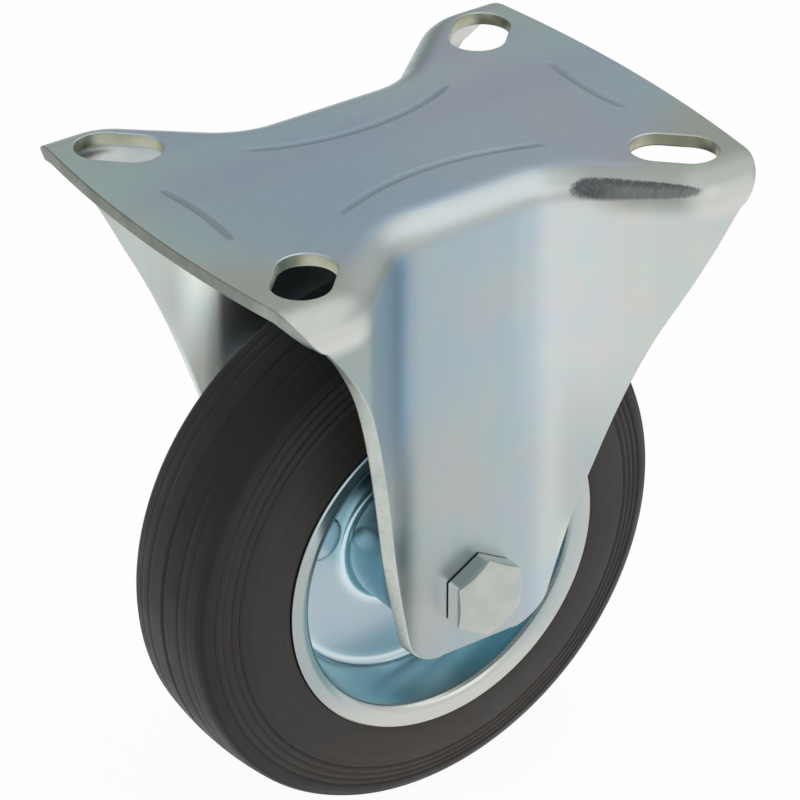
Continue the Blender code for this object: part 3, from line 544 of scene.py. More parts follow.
def cut_edge_finish():
    """Sheared edge: dull round the plate, brighter down the legs, yellowish in the slots."""
    edge = Surface("sheared_edge", (0.44, 0.47, 0.43), 1.0, 0.42)
    grain = edge.noise(1200.0, 4.0, 0.65)
    patches = edge.noise(130.0)
    x, y, z = edge.split(edge.place)
    plate = edge.mix((patches, 0.35, 0.65), (0.24, 0.27, 0.24), (0.34, 0.37, 0.34))
    plate = edge.shaded((y, -0.030, -0.018), plate, (0.76, 0.75, 0.74))
    leg = edge.mix((patches, 0.35, 0.65), (0.55, 0.60, 0.56), (0.63, 0.67, 0.62))
    tint = edge.mix((z, -0.006, -0.018), plate, leg)
    tint = edge.mix((grain, 0.5, 0.8, 0.0, 0.35), tint, (0.30, 0.32, 0.29))
    slot = edge.distance((SLOT_X, SLOT_Y, 0), (1, 1, 0), mirrored=True)
    yellow = edge.mix((patches, 0.4, 0.6), (0.41, 0.42, 0.31), (0.51, 0.52, 0.40))
    edge.color(edge.mix((slot, 0.0090, 0.0085), tint, yellow))
    edge.roughness(edge.span(grain, 0.3, 0.7, 0.38, 0.50))
    edge.bump(grain, 0.00002, 0.25)
    return edge.material


def rim_finish():
    """Blue zinc plate on the pressed rim: deep teal barrel, lilac disc and a greyish lip; painted
    highlights on two fillets, painted light on the barrel and lip, painted shade on the web and lip.
    """
    rim = Surface("blue_zinc_rim", (0.45, 0.60, 0.68), 1.0, 0.26)
    radius = rim.wheel_radius()
    x, y, z = rim.split(rim.place)
    patchy = rim.noise(36.0, 2.0)
    # The radius ramp paints highlights on the fillets at the collar and at the barrel's foot
    tint = rim.ramp(radius, 0.0100, 0.0340, RIM_TINTS_AND_PAINTED_LIGHT)
    web = rim.region((x, 0.002, -0.006), (z, -0.070, -0.063), (radius, 0.0140, 0.0155))
    tint = rim.shaded(web, tint, WEB_SHADE)
    # Painted light on the lower right of the barrel
    barrel = rim.region((x, 0.0, 0.014), (z, -0.085, -0.095), (radius, 0.0262, 0.0270))
    tint = rim.shaded(barrel, tint, BARREL_PAINTED_LIGHT)
    lip = rim.mix((radius, 0.0300, 0.0318), LIP_INNER, LIP_OUTER)
    # Painted shade at the lip's left and in its hollow, painted light at its bottom and top
    for shade, *limits in ((LIP_LEFT_PAINTED_SHADE, (x, -0.022, -0.029)), (LIP_LOW_PAINTED_LIGHT, (z, -0.096, -0.106)),
                           (LIP_TOP_PAINTED_LIGHT, (z, -0.066, -0.056)),
                           (LIP_HOLLOW_PAINTED_SHADE, (radius, 0.0308, 0.0300), (x, -0.021, -0.027))):
        lip = rim.mix(rim.region(*limits), lip, shade)
    tint = rim.mix((rim.size(y), 0.0118, 0.0136), tint, lip)
    rim.color(rim.shaded((patchy, 0.40, 0.65, 0.0, 0.4), tint, (0.94, 1.01, 1.02)))
    rim.roughness(rim.span(patchy, 0.3, 0.7, 0.23, 0.29))
    rim.bump(patchy, 0.00012, 0.12)
    rim.bump(rim.math("SINE", rim.product(radius, 14000.0)), 0.000001, 0.08)
    return rim.material


def rubber_finish():
    """Moulded rubber: brown-black side walls with a trace of dust in rings, painted light low down and
    painted shade towards +X, and a darker tread with painted shade on its near half.
    """
    rubber = Surface("black_rubber", (0.030, 0.026, 0.023), 0.0, 0.5)
    x, y, z = rubber.split(rubber.place)
    radius = rubber.wheel_radius()
    cloudy = rubber.noise(95.0, 4.0, 0.6)
    grain = rubber.noise(1600.0, 4.0, 0.65)
    side = rubber.mix((rubber.noise(14.0, 3.0, 0.55), 0.35, 0.65), RUBBER_DARK, RUBBER_LIGHT)
    side = rubber.mix((cloudy, 0.5, 0.75, 0.0, 0.4), side, RUBBER_DUSTY)
    # Painted light on the lower side walls
    side = rubber.shaded((z, -0.098, -0.120), side, (1.28, 1.24, 1.20))
    ring = rubber.span(rubber.noise(1.0, 2.0, vector=rubber.ring_place(900.0, 6.0)), 0.35, 0.65)
    side = rubber.mix(ring, rubber.mix(1.0, side, RING_SHADE, "MULTIPLY"), side)
    # Painted shade on the side walls towards +X
    side = rubber.shaded((x, -0.01, 0.03), side, (0.86, 0.86, 0.84))
    shoulder = rubber.span(radius, TYRE_RADIUS - 0.0052, TYRE_RADIUS - 0.0028)
    side = rubber.shaded(shoulder, side, (0.62, 0.62, 0.65))
    # Painted shade: the tread's near half is darker than its far half
    tread = rubber.mix((y, -0.0006, 0.0006), TREAD_NEAR_WITH_PAINTED_SHADE, TREAD_FAR)
    tint = rubber.mix((radius, TYRE_RADIUS - 0.0024, TYRE_RADIUS - 0.0014), side, tread)
    rubber.color(rubber.mix((grain, 0.62, 0.80, 0.0, 0.2), tint, RUBBER_GRAIN))
    rubber.shader.inputs["Specular IOR Level"].default_value = 0.35
    rubber.roughness(rubber.math("ADD", rubber.span(cloudy, 0.3, 0.7, 0.46, 0.56),
                                 rubber.span(grain, 0.4, 0.7, 0.0, 0.05)))
    rubber.bump(rubber.math("SINE", rubber.product(radius, 9000.0)), 0.000006, 0.2)
    rubber.bump(cloudy, 0.00004, 0.2)
    rubber.bump(grain, 0.00001, 0.25)
    return rubber.material


def bolt_finish():
    """Bright plated fastener with faint forging marks, and painted light and shade on three flats of its
    head.
    """
    bolt = Surface("bright_steel", (0.52, 0.55, 0.51), 1.0, 0.3)
    cloudy = bolt.noise(220.0)
    tint = bolt.mix((cloudy, 0.35, 0.7), (0.47, 0.51, 0.48), (0.53, 0.56, 0.52))
    x, y, z = bolt.split(bolt.place)
    side = bolt.region((y, 0.0009 - HEAD_FACE, 0.0013 - HEAD_FACE), (y, 0.0, -0.010))
    height = bolt.product(bolt.math("SUBTRACT", z, AXLE.z), math.sin(math.radians(60)))
    # Painted shade on the upper left flat, painted light on the upper right one
    for slope, shade in ((-0.5, BOLT_UPPER_LEFT_PAINTED_SHADE), (0.5, BOLT_UPPER_RIGHT_PAINTED_LIGHT)):
        reach = bolt.math("ADD", bolt.product(x, slope), height)
        tint = bolt.mix(bolt.product(bolt.span(reach, *FLAT_START), side), tint, shade)
    # Painted light on the left flat
    left = bolt.product(bolt.span(x, *(-mark for mark in FLAT_START)), side)
    bolt.color(bolt.mix(left, tint, BOLT_LEFT_PAINTED_LIGHT))
    bolt.roughness(bolt.span(cloudy, 0.3, 0.7, 0.26, 0.33))
    bolt.bump(cloudy, 0.00003, 0.2)
    bolt.bump(bolt.noise(2000.0, 3.0, 0.6), 0.000005, 0.1)
    return bolt.material


def bearing_finish():
    """Ground steel with fine lines round it."""
    steel = Surface("bearing_steel", (0.55, 0.55, 0.56), 1.0, 0.15)
    lines = steel.noise(1.0, 3.0, 0.6, steel.stretched((300, 6000, 300)))
    steel.color(steel.mix((lines, 0.3, 0.7), (0.50, 0.50, 0.51), (0.60, 0.60, 0.61)))
    steel.roughness(steel.span(lines, 0.3, 0.7, 0.12, 0.22))
    steel.bump(lines, 0.000005, 0.2)
    return steel.material


def plastic_finish(name, dark, light, rough):
    """Moulded plastic, faintly cloudy and grained."""
    plastic = Surface(name, light, 0.0, rough)
    grain = plastic.noise(3000.0, 3.0, 0.6)
    plastic.color(plastic.mix((plastic.noise(300.0), 0.35, 0.65), dark, light))
    plastic.roughness(plastic.span(grain, 0.3, 0.7, rough - 0.06, rough + 0.08))
    plastic.bump(grain, 0.00001, 0.3)
    return plastic.material


# Mesh building

def placed(name, data):
    made = bpy.data.objects.new(name, data)
    bpy.context.scene.collection.objects.link(made)
    return made


def add_object(name, mesh, materials, smooth_angle=math.radians(30)):
    data = bpy.data.meshes.new(name)
    mesh.to_mesh(data)
    mesh.free()
    data.shade_smooth()
    data.set_sharp_from_angle(angle=smooth_angle)
    for surface in materials:
        data.materials.append(surface)
    return placed(name, data)


def keep_evaluated(item):
    """Bakes an object's modifiers into its mesh."""
    graph = bpy.context.evaluated_depsgraph_get()
    finished = bpy.data.meshes.new_from_object(item.evaluated_get(graph))
    item.modifiers.clear()
    item.data = finished


def fit_out(piece, body, slot, *nodes):
    """The piece rides on the body and stands for the CAD nodes."""
    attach(piece, body)
    if nodes:
        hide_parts(*nodes)


def turned(outline, segments, centre=AXLE, ring=True):
    """Mesh of (radius, distance along Y) points turned about the line along Y through the centre."""
    mesh = bmesh.new()
    points = [mesh.verts.new((radius, along, 0.0)) for radius, along in outline]
    edges = [mesh.edges.new(pair) for pair in zip(points, points[1:])]
    if ring:
        edges.append(mesh.edges.new((points[-1], points[0])))
    bmesh.ops.spin(mesh, geom=points + edges, cent=(0, 0, 0), axis=(0, 1, 0),
                   angle=2 * math.pi, steps=segments, use_duplicate=False)
    bmesh.ops.remove_doubles(mesh, verts=mesh.verts, dist=0.0000005)
    bmesh.ops.recalc_face_normals(mesh, faces=mesh.faces)
    bmesh.ops.translate(mesh, verts=mesh.verts, vec=centre)
    return mesh


def direction(start, end):
    run, rise = end[0] - start[0], end[1] - start[1]
    length = math.hypot(run, rise)
    return run / length, rise / length


def moved(point, way, length):
    return point[0] + way[0] * length, point[1] + way[1] * length


def filleted(corners, radii, steps=8, closed=False):
    """Outline through the corners, each rounded to its radius; an open one keeps its ends."""
    count = len(corners)
    order = range(count) if closed else range(1, count - 1)
    path = [] if closed else [corners[0]]
    for index, radius in zip(order, radii):
        corner = corners[index]
        into = direction(corners[index - 1], corner)
        out = direction(corner, corners[(index + 1) % count])
        turn = math.atan2(into[0] * out[1] - into[1] * out[0], into[0] * out[0] + into[1] * out[1])
        reach = radius * math.tan(abs(turn) / 2)
        side = math.copysign(1.0, turn)
        start = moved(corner, into, -reach)
        centre = moved(start, (-into[1], into[0]), radius * side)
        for step in range(steps + 1):
            angle = turn * step / steps
            arm = (start[0] - centre[0], start[1] - centre[1])
            path.append((centre[0] + arm[0] * math.cos(angle) - arm[1] * math.sin(angle),
                         centre[1] + arm[0] * math.sin(angle) + arm[1] * math.cos(angle)))
    if not closed:
        path.append(corners[-1])
    return path


def offset_left(path, distance):
    """The open path, moved to its left."""
    shifted = []
    for index, point in enumerate(path):
        before = path[max(index - 1, 0)]
        after = path[min(index + 1, len(path) - 1)]
        into = direction(before, point) if index else direction(point, after)
        out = direction(point, after) if index < len(path) - 1 else into
        normal = (-(into[1] + out[1]), into[0] + out[0])
        scale = distance * 2 / (normal[0] ** 2 + normal[1] ** 2)
        shifted.append(moved(point, normal, scale))
    return shifted


def add_skin(mesh, rings):
    """Closed surface over rings of vertices."""
    for low, high in zip(rings, rings[1:]):
        for side in range(len(low)):
            mesh.faces.new((low[side - 1], low[side], high[side], high[side - 1]))
    mesh.faces.new(rings[0])
    mesh.faces.new(rings[-1][::-1])


# Bracket

def leg_plan(x):
    """Outer face of a leg from above: its distance from the centre line and its normal."""
    half = abs(x)
    flat_end = FLAT_CORNER - FLANGE_FILLET * math.tan(FLANGE_ANGLE / 2)
    curve_end = flat_end + FLANGE_FILLET * math.sin(FLANGE_ANGLE)
    line_end_y = LOBE_FACE - LOBE_FILLET * (1 - math.cos(FLANGE_ANGLE))
    line_end = FLAT_CORNER + (line_end_y - LEG_FACE) / math.tan(FLANGE_ANGLE)
    lobe_start = line_end + LOBE_FILLET * math.sin(FLANGE_ANGLE)
    if half <= flat_end:
        y, slope = LEG_FACE, 0.0
    elif half <= curve_end:
        slope = math.asin((half - flat_end) / FLANGE_FILLET)
        y = LEG_FACE + FLANGE_FILLET * (1 - math.cos(slope))
    elif half <= line_end:
        slope = FLANGE_ANGLE
        y = LEG_FACE + (half - FLAT_CORNER) * math.tan(FLANGE_ANGLE)
    elif half <= lobe_start:
        slope = math.asin((lobe_start - half) / LOBE_FILLET)
        y = LOBE_FACE - LOBE_FILLET * (1 - math.cos(slope))
    else:
        y, slope = LOBE_FACE, 0.0
    return y, (-math.copysign(math.sin(slope), x), math.cos(slope))


def free_edge(z):
    """Half width of a leg at a height above the axle, inside the edge's rounding."""
    flare = FLARE * max(z / (AXLE_DROP - BEND_RADIUS), 0.0) ** FLARE_POWER
    return LEG_HALF_WIDTH + LEG_TAPER * z + flare - EDGE_ROUND


def leg_outline():
    """Free edge of a leg, foot to bend: rows of (height above the axle, half width)."""
    taper = math.atan(LEG_TAPER)
    fillet = FOOT_FILLET - EDGE_ROUND
    centre_z = FOOT_FILLET - LEG_FOOT
    centre_x = LEG_HALF_WIDTH + LEG_TAPER * centre_z - FOOT_FILLET / math.cos(taper)
    rows = []
    for step in range(FOOT_ROWS + 1):
        angle = -math.pi / 2 + (math.pi / 2 - taper) * step / FOOT_ROWS
        rows.append((centre_z + fillet * math.sin(angle), centre_x + fillet * math.cos(angle)))
    start = rows[-1][0]
    wall_top = AXLE_DROP - BEND_RADIUS
    for step in range(1, LEG_ROWS + 1):
        share = 1 - (1 - step / LEG_ROWS) ** 1.4
        z = start + (wall_top - start) * share
        rows.append((z, free_edge(z)))
    return rows


def wall_point(x, z):
    y, normal = leg_plan(x)
    outer = Vector((x, y, z - AXLE_DROP))
    return outer, outer - SHEET * Vector((*normal, 0))


def bend_point(x, angle):
    """Point of the bend; angle is 90 degrees at the leg and 0 at the plate."""
    y, normal = leg_plan(x)
    across = Vector((*normal, 0))
    outer = Vector((x, y, -BEND_RADIUS)) - across * BEND_RADIUS
    arm = across * math.sin(angle) + Vector((0, 0, math.cos(angle)))
    return outer + arm * BEND_RADIUS, outer + arm * (BEND_RADIUS - SHEET)


def half_bracket_rows():
    """Rows of (outer, inner) points from the foot of the +Y leg to the plate's centre line."""
    shares = [2 * column / LEG_COLUMNS - 1 for column in range(LEG_COLUMNS + 1)]
    rows = []
    for z, half_width in leg_outline():
        rows.append([wall_point(share * half_width, z) for share in shares])
    wall_half_width = free_edge(AXLE_DROP - BEND_RADIUS)
    plate_end = PLATE_END - EDGE_ROUND
    corner_x = plate_end - PLATE_END_SAG
    for step in range(1, BEND_ROWS + 1):
        angle = math.pi / 2 * (1 - step / BEND_ROWS)
        half_width = wall_half_width + (corner_x - wall_half_width) * math.cos(angle) ** CORNER_POWER
        rows.append([bend_point(share * half_width, angle) for share in shares])
    last = rows[-1]
    for step in range(1, PLATE_ROWS + 1):
        share_in = step / PLATE_ROWS
        along = 1 - (1 - share_in) ** 2
        row = []
        for share, (outer, _) in zip(shares, last):
            x = outer.x + (share * plate_end - outer.x) * along
            top = Vector((x, outer.y * (1 - share_in), 0.0))
            row.append((top, top - Vector((0, 0, SHEET))))
        rows.append(row)
    return rows


def border(grid):
    """The grid's border, once round."""
    left = [row[0] for row in grid[1:-1]][::-1]
    return grid[0] + [row[-1] for row in grid[1:-1]] + grid[-1][::-1] + left


def bracket_mesh():
    """Both faces of the bent sheet, joined round the free edge by a strip with rounded corners."""
    half = half_bracket_rows()
    flip = Vector((1, -1, 1))
    rows = half + [[(o * flip, i * flip) for o, i in row] for row in half[:-1]][::-1]
    mesh = bmesh.new()
    outer, inner = ([[mesh.verts.new(point[face]) for point in row] for row in rows] for face in (0, 1))
    for grid in (outer, inner):
        for low, high in zip(grid, grid[1:]):
            for column in range(LEG_COLUMNS):
                mesh.faces.new((low[column], low[column + 1], high[column + 1], high[column]))
    outer_border, inner_border = border(outer), border(inner)
    centre = [Vector((0, math.copysign(LEG_FACE, v.co.y), min(v.co.z, -0.02))) for v in outer_border]
    strips = []
    count = len(outer_border)
    for index in range(count):
        high, low = outer_border[index], inner_border[index]
        normal = (high.co - low.co).normalized()
        along = outer_border[(index + 1) % count].co - outer_border[index - 1].co
        out = along.cross(normal).normalized()
        on_top = abs(high.co.z) <= 0.0001
        if (out.x * high.co.x if on_top else out.dot(high.co - centre[index])) < 0:
            out = -out
        chain = [high]
        for base, sign, order in ((high.co, -1, 1), (low.co, 1, -1)):
            for degrees in (22.5, 45, 67.5, 90)[::order]:
                angle = math.radians(degrees)
                step = out * math.sin(angle) + normal * sign * (1 - math.cos(angle))
                chain.append(mesh.verts.new(base + step * EDGE_ROUND))
        strips.append(chain + [low])
    for index in range(count):
        here, before = strips[index], strips[index - 1]
        for step in range(len(here) - 1):
            face = mesh.faces.new((here[step], before[step], before[step + 1], here[step + 1]))
            face.material_index = 1 if 1 <= step <= 7 else 0
    bmesh.ops.recalc_face_normals(mesh, faces=mesh.faces)
    return mesh


def stadium(length, width, steps=20):
    reach = (length - width) / 2
    points = []
    for side in (1, -1):
        for step in range(steps + 1):
            angle = math.pi * step / steps - math.pi / 2
            x, y = reach + width / 2 * math.cos(angle), width / 2 * math.sin(angle)
            points.append((side * x, side * y))
    return points


def add_slot_cutter(mesh, place, turn):
    """Slot cutter that widens at both faces of the plate, so the slot's edges come out rounded."""
    rows = [(SHEET, EDGE_ROUND)]
    for degrees in (15, 40, 65, 90):
        angle = math.radians(degrees)
        rows.append((EDGE_ROUND * (math.cos(angle) - 1), EDGE_ROUND * (1 - math.sin(angle))))
    lower = [(-SHEET - z, grow) for z, grow in rows[::-1]]
    loops = []
    for z, grow in rows + lower:
        loop = []
        for x, y in stadium(SLOT_LENGTH + 2 * grow, SLOT_WIDTH + 2 * grow):
            point = Matrix.Rotation(turn, 3, "Z") @ Vector((x, y, z))
            loop.append(mesh.verts.new(point + place))
        loops.append(loop)
    add_skin(mesh, loops)


def add_bead_cutter(mesh, length, width, depth, offset, rise, turn, steps=32, sides=12):
    """Curved bar that presses a shallow bead with soft edges."""
    rings = []
    for step in range(steps + 1):
        share = 2 * step / steps - 1
        press = depth * (1 - abs(share) ** 8)
        section = []
        for side in range(sides + 1):
            across = 2 * side / sides - 1
            section.append((across, BEAD_LIFT - press * (1 + math.cos(math.pi * across)) / 2))
        section += [(1.0, CUTTER_TOP), (-1.0, CUTTER_TOP)]
        ring = []
        for across, height in section:
            side_place = offset + rise * share ** 2 + across * width / 2
            point = Vector((share * length / 2, side_place, height))
            ring.append(mesh.verts.new(Matrix.Rotation(turn, 3, "Z") @ point))
        rings.append(ring)
    add_skin(mesh, rings)


def keep_plate_flat(bracket):
    """Sharp borders round the beads, so that their shading doesn't spill over the flat plate."""
    mesh = bmesh.new()
    mesh.from_mesh(bracket.data)
    for edge in mesh.edges:
        middle = (edge.verts[0].co + edge.verts[1].co) / 2
        inside = abs(middle.x) < PLATE_END - 0.006 and abs(middle.y) < LEG_FACE - BEND_RADIUS - 0.001
        if inside and abs(middle.z) < LEVEL_BAND and len(edge.link_faces) == 2:
            level = [face.normal.z > LEVEL_NORMAL for face in edge.link_faces]
            if level[0] != level[1]:
                edge.smooth = False
    mesh.to_mesh(bracket.data)
    mesh.free()


def make_bracket(zinc, edge):
    """Bent sheet with its slots, beads and axle holes; the slots' walls have the cut edge's finish."""
    bracket = add_object("bracket_skin", bracket_mesh(), [zinc, edge])
    slots = bmesh.new()
    for sign_x in (1, -1):
        for sign_y in (1, -1):
            place = Vector((sign_x * SLOT_X, sign_y * SLOT_Y, 0))
            add_slot_cutter(slots, place, sign_x * sign_y * SLOT_ANGLE)
    bmesh.ops.recalc_face_normals(slots, faces=slots.faces)
    beads = bmesh.new()
    for turn in (0, math.pi):
        add_bead_cutter(beads, *SIDE_BEAD, turn)
        add_bead_cutter(beads, *END_BEAD, turn + math.pi / 2)
    bmesh.ops.recalc_face_normals(beads, faces=beads.faces)
    hole = turned([(0, -0.05), (AXLE_HOLE, -0.05), (AXLE_HOLE, 0.05), (0, 0.05)], 48, ring=False)
    cutters = [add_object("cutter", slots, [zinc, edge]), add_object("cutter", beads, [zinc]),
               add_object("cutter", hole, [zinc])]
    for face in cutters[0].data.polygons:
        face.material_index = 1 if abs(face.normal.z) < 0.1 else 0
    for cutter in cutters:
        step = bracket.modifiers.new("cut", "BOOLEAN")
        step.operation = "DIFFERENCE"
        step.solver = "EXACT"
        step.object = cutter
    keep_evaluated(bracket)
    for cutter in cutters:
        bpy.data.objects.remove(cutter)
    bracket.data.set_sharp_from_angle(angle=math.radians(28))
    keep_plate_flat(bracket)
    fit_out(bracket, "fork", "zinc_plated_steel", "bracket")


# Wheel

def tyre_outline():
    """Section of the tyre with its grooves, from the bore round the tread and back."""
    bore = BARREL_RADIUS + RIM_SHEET + SEAT_GAP
    bead_side = RIM_HALF_WIDTH - RIM_SHEET - SEAT_GAP
    lip = LIP_RADIUS + LIP_GAP

    def wall(radius):
        share = (radius - LIP_RADIUS) / (TYRE_RADIUS - SHOULDER_DROP - LIP_RADIUS)
        return TYRE_SIDE - (TYRE_SIDE - TREAD_HALF_WIDTH) * share ** SIDE_WALL_POWER

    def tread(along):
        return TYRE_RADIUS - CROWN_RADIUS + math.sqrt(CROWN_RADIUS ** 2 - along ** 2)

    def groove(value, grooves):
        return sum(depth * math.exp(-((value - place) / width) ** 2) for place, depth, width in grooves)

    half = [(bore, bead_side - 0.0015), (bore + 0.0015, bead_side), (lip, bead_side)]
    half += [(lip, wall(lip) - 0.0003), (lip + 0.00008, wall(lip) - 0.00008), (lip + 0.0003, wall(lip))]
    crown_side = TYRE_RADIUS - SHOULDER_DROP
    radius = lip + 0.0010
    while radius < crown_side - 0.0014:
        half.append((radius, wall(radius) - groove(radius, SIDE_RINGS)))
        radius += SIDE_STEP
    band = TREAD_HALF_WIDTH - SHOULDER_DROP
    shoulder = [(crown_side - SHOULDER_DROP, wall(crown_side - SHOULDER_DROP)),
                (crown_side, TREAD_HALF_WIDTH - SHOULDER_DROP / 4), (tread(band), band)]
    half += filleted([half[-1]] + shoulder, (0.0008, 0.0006), steps=6)[1:]
    for step in range(1, TREAD_STEPS):
        along = band * (1 - step / TREAD_STEPS)
        half.append((tread(along) - groove(along, TREAD_GROOVES), along))
    middle = (TYRE_RADIUS - TREAD_GROOVES[0][1], 0.0)
    return half + [middle] + [(radius, -along) for radius, along in half[::-1]]


def rim_outline():
    """Closed section of the +Y rim half, with a rounded edge at the lip and the collar."""
    corners = [(LIP_RADIUS, RIM_HALF_WIDTH), (BARREL_RADIUS, RIM_HALF_WIDTH),
               (BARREL_FOOT_RADIUS, WEB_FACE), (COLLAR_RADIUS, WEB_FACE), (COLLAR_RADIUS, COLLAR_REACH)]
    shown = filleted(corners, (0.0021, 0.0019, 0.0014), steps=12)
    return soft_ends(shown, offset_left(shown, RIM_SHEET))


def soft_ends(shown, hidden):
    """Joins both sides of a sheet's section with small chamfers at its two ends."""
    soft = RIM_SHEET * SOFT_SHARE
    first, last = direction(shown[0], shown[1]), direction(shown[-1], shown[-2])
    across, end_across = direction(shown[0], hidden[0]), direction(shown[-1], hidden[-1])
    start_pair = [moved(hidden[0], across, -soft), moved(shown[0], across, soft)]
    end_pair = [moved(shown[-1], end_across, soft), moved(hidden[-1], end_across, -soft)]
    sides = [[moved(side[0], first, soft)] + side[1:-1] + [moved(side[-1], last, soft)]
             for side in (shown, hidden)]
    return sides[0] + end_pair + sides[1][::-1] + start_pair


def rivet_place(number):
    angle = RIVET_START + 2 * math.pi * number / 3
    return AXLE + Vector((RIVET_CIRCLE * math.cos(angle), 0, RIVET_CIRCLE * math.sin(angle)))


def make_wheel(rim_surface, rubber, steel):
    tyre = add_object("tyre_skin", turned(tyre_outline(), WHEEL_SEGMENTS), [rubber], math.radians(50))
    fit_out(tyre, "wheel", "black_rubber", "tyre")
    for side, name in ((-1, "front"), (1, "rear")):
        outline = [(radius, side * along) for radius, along in rim_outline()]
        rim = add_object("rim_%s_skin" % name, turned(outline, RIM_SEGMENTS), [rim_surface])
        fit_out(rim, "wheel", "blue_zinc_rim", "rim_%s" % name)
        hole, start, end = SLEEVE_RADIUS + SEAT_GAP, HUB_END + SEAT_GAP, HUB_END + RETAINER_REACH
        flange = [(HUB_RADIUS, start), (hole, start), (hole, end), (HUB_RADIUS, end)]
        washer = filleted(flange, (0.0001, 0.0001, 0.0002, 0.0004), steps=4, closed=True)
        washer = [(radius, side * along) for radius, along in washer]
        retainer = add_object("retainer_%s_skin" % name, turned(washer, HUB_SEGMENTS), [steel])
        fit_out(retainer, "wheel", "bright_steel", "retainer_%s" % name)
    for number in range(3):
        seat = WEB_FACE + SEAT_GAP
        dome = []
        for step in range(13):
            angle = math.radians(90 * step / 12)
            dome.append((RIVET_HEAD * math.sin(angle), seat + RIVET_DOME * math.cos(angle)))
        outline = dome + [(RIVET_SHANK, seat), (RIVET_SHANK, -seat)] + [(r, -y) for r, y in dome[::-1]]
        rivet = add_object("rivet_%d_skin" % (number + 1),
                           turned(outline, 40, rivet_place(number), ring=False), [rim_surface])
        fit_out(rivet, "wheel", "blue_zinc_rim", "rivet_%d" % (number + 1))
    bore = HUB_RADIUS - HUB_WALL
    section = [(HUB_RADIUS, HUB_END), (bore, HUB_END), (bore, -HUB_END), (HUB_RADIUS, -HUB_END)]
    section = filleted(section, (0.0003,) * 4, steps=4, closed=True)
    hub = add_object("hub_tube_skin", turned(section, HUB_SEGMENTS), [rim_surface])
    fit_out(hub, "wheel", "blue_zinc_rim", "hub_tube")


# Fasteners

def hexagon_head(face, seat):
    """Closed hexagon head along Y: a chamfered face, six flats whose upper edges are arcs, a seat."""
    mesh = bmesh.new()
    inner = HEX_FLATS / 2 * 0.95
    inward = 1 if seat > face else -1
    # Rings: within the face, the face's rim, the chamfer's foot, the seat
    rings = [[] for _ in range(4)]
    for number, ring in enumerate(rings):
        for step in range(HEAD_STEPS):
            angle = 2 * math.pi * step / HEAD_STEPS
            from_flat = (math.degrees(angle) + 30) % 60 - 30
            hexagon = HEX_FLATS / 2 / math.cos(math.radians(from_flat))
            chamfer = inward * (hexagon - inner) * math.tan(HEAD_CHAMFER)
            radius, along = ((inner * 0.5, face), (inner, face), (hexagon, face + chamfer),
                             (hexagon, seat))[number]
            ring.append(mesh.verts.new((radius * math.cos(angle), along, radius * math.sin(angle))))
    add_skin(mesh, rings)
    bmesh.ops.recalc_face_normals(mesh, faces=mesh.faces)
    bmesh.ops.translate(mesh, verts=mesh.verts, vec=AXLE)
    return mesh


def make_bolt(steel):
    seat = -(LEG_FACE + SEAT_GAP)
    head = add_object("bolt_head_skin", hexagon_head(-HEAD_FACE, seat), [steel], HEAD_SMOOTH)
    fit_out(head, "fork", "bright_steel", "axle_bolt")
    along = NUT_END - THREAD_REACH
    shank = [(0.0, seat), (SHANK_RADIUS, seat), (SHANK_RADIUS, along)]
    while along < BOLT_TIP - PITCH:
        shank += [(THREAD_ROOT, along + PITCH * 0.5), (SHANK_RADIUS, along + PITCH)]
        along += PITCH
    shank += [(TIP_RADIUS, BOLT_TIP), (0.0, BOLT_TIP)]
    rod = add_object("bolt_shank_skin", turned(shank, 48, ring=False), [steel])
    fit_out(rod, "fork", "bright_steel")


def make_nut(steel):
    hex_end = NUT_END - COLLAR_LENGTH
    nut = add_object("nut_hex_skin", hexagon_head(hex_end, NUT_SEAT), [steel], HEAD_SMOOTH)
    fit_out(nut, "fork", "bright_steel", "lock_nut")
    outer, bore = NUT_COLLAR
    ring = filleted([(outer, hex_end), (outer, NUT_END), (bore, NUT_END), (bore, hex_end)],
                    (0.0001, 0.0010, 0.0002, 0.0001), steps=6, closed=True)
    collar = add_object("nut_collar_skin", turned(ring, 64), [steel])
    fit_out(collar, "fork", "bright_steel")


def dress_inner_nodes(surfaces):
    """Inner CAD nodes keep their shape and get the finish under their name, or the bearing's."""
    for name, node in frame["nodes"].items():
        if node.hide_render:
            continue
        node.data.materials.clear()
        node.data.materials.append(surfaces.get(name, surfaces["bearing"]))
        node.data.shade_smooth()
        node.data.set_sharp_from_angle(angle=math.radians(30))


# Stage

def make_floor():
    """Level ground; the camera and the mirrors see mostly its own white, whatever falls on it."""
    mesh = bmesh.new()
    bmesh.ops.create_grid(mesh, x_segments=1, y_segments=1, size=FLOOR_HALF_SIZE)
    bmesh.ops.translate(mesh, verts=mesh.verts, vec=(0, 0, FLOOR_Z - FLOOR_GAP))
    made = bpy.data.materials.new("floor_white")
    made.use_nodes = True
    made.node_tree.nodes.clear()
    graph = Graph(made.node_tree)
    rays = graph.node("ShaderNodeLightPath").outputs
    seen = graph.math("MAXIMUM", rays["Is Camera Ray"], rays["Is Glossy Ray"])
    seen = graph.math("MAXIMUM", seen, rays["Is Transmission Ray"])
    graph.show("ShaderNodeOutputMaterial", graph.product(seen, FLOOR_WHITE_SHARE),
               graph.build("ShaderNodeBsdfDiffuse", 0, {}, Color=FLOOR_COLOR),
               graph.build("ShaderNodeEmission", 0, {}, Color=WHITE, Strength=1.0))
    floor = add_object("floor", mesh, [made])


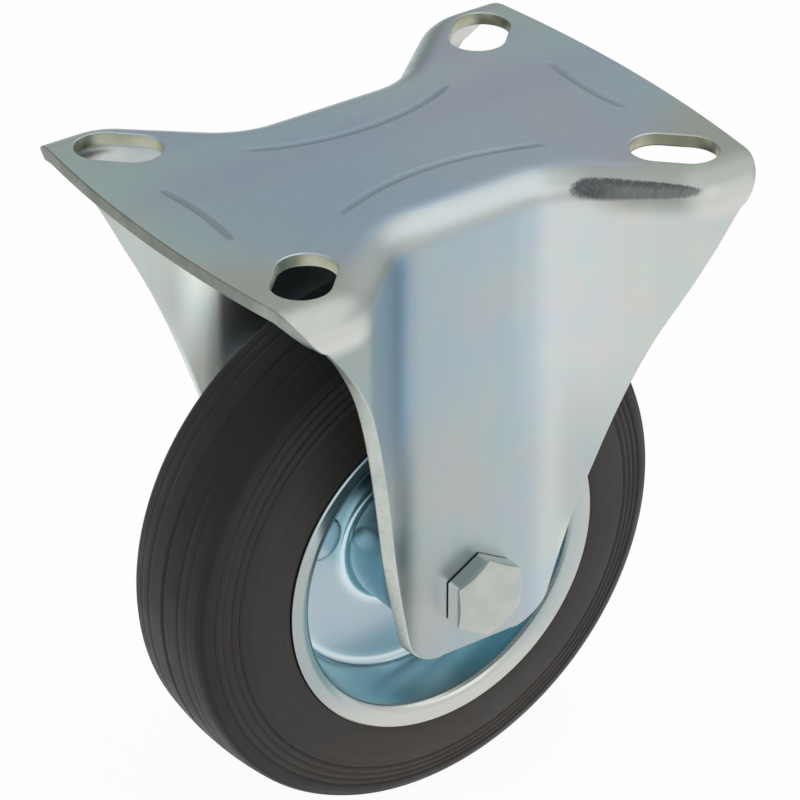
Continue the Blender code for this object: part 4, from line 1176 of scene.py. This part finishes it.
def make_world():
    """White to the camera; to the object, a room that is brighter in front than behind."""
    world = bpy.data.worlds.new("studio")
    bpy.context.scene.world = world
    world.use_nodes = True
    world.node_tree.nodes.clear()
    graph = Graph(world.node_tree)
    axis = graph.node("ShaderNodeVectorMath", operation="DOT_PRODUCT")
    graph.plug(axis.inputs[0], graph.node("ShaderNodeTexCoord").outputs["Generated"])
    graph.plug(axis.inputs[1], ROOM_AXIS)
    level = graph.span(axis.outputs["Value"], ROOM_FAR, ROOM_NEAR, ROOM_FAR_LEVEL, ROOM_NEAR_LEVEL)
    graph.show("ShaderNodeOutputWorld", graph.node("ShaderNodeLightPath").outputs["Is Camera Ray"],
               graph.build("ShaderNodeBackground", 0, {}, Color=WHITE, Strength=level),
               graph.build("ShaderNodeBackground", 0, {}, Color=WHITE))


def make_softbox():
    data = bpy.data.lights.new("front_softbox", "AREA")
    data.shape = "RECTANGLE"
    data.size, data.size_y = SOFTBOX_SIZE
    data.energy = SOFTBOX_POWER
    lamp = placed("front_softbox", data)
    lamp.location = SOFTBOX_PLACE
    aim = Vector((0, 0, AXLE.z / 2)) - Vector(SOFTBOX_PLACE)
    lamp.rotation_euler = aim.to_track_quat("-Z", "Y").to_euler()


def make_camera():
    data = bpy.data.cameras.new("camera")
    data.sensor_width = CAMERA_SENSOR
    data.lens = CAMERA_LENS
    data.clip_end = 20
    camera = placed("camera", data)
    back = Vector((math.sin(CAMERA_AZIMUTH) * math.cos(CAMERA_ELEVATION),
                   -math.cos(CAMERA_AZIMUTH) * math.cos(CAMERA_ELEVATION),
                   math.sin(CAMERA_ELEVATION)))
    camera.location = CAMERA_AIM + back * CAMERA_DISTANCE
    camera.rotation_euler = back.to_track_quat("Z", "Y").to_euler()
    bpy.context.scene.camera = camera


def main():
    make_camera()
    zinc = zinc_finish()
    rim_surface = rim_finish()
    rubber = rubber_finish()
    steel = bolt_finish()
    inner = {"bearing": bearing_finish(),
             "nylon_insert": plastic_finish("white_nylon", (0.70, 0.70, 0.66), (0.80, 0.80, 0.76), 0.45),
             "roller_cage": plastic_finish("cage_plastic", (0.02, 0.02, 0.022), (0.03, 0.03, 0.032), 0.5)}
    make_bracket(zinc, cut_edge_finish())
    make_wheel(rim_surface, rubber, steel)
    make_bolt(steel)
    make_nut(steel)
    dress_inner_nodes(inner)
    make_floor()
    make_world()
    make_softbox()
    bpy.context.scene.view_settings.view_transform = "Standard"


main()
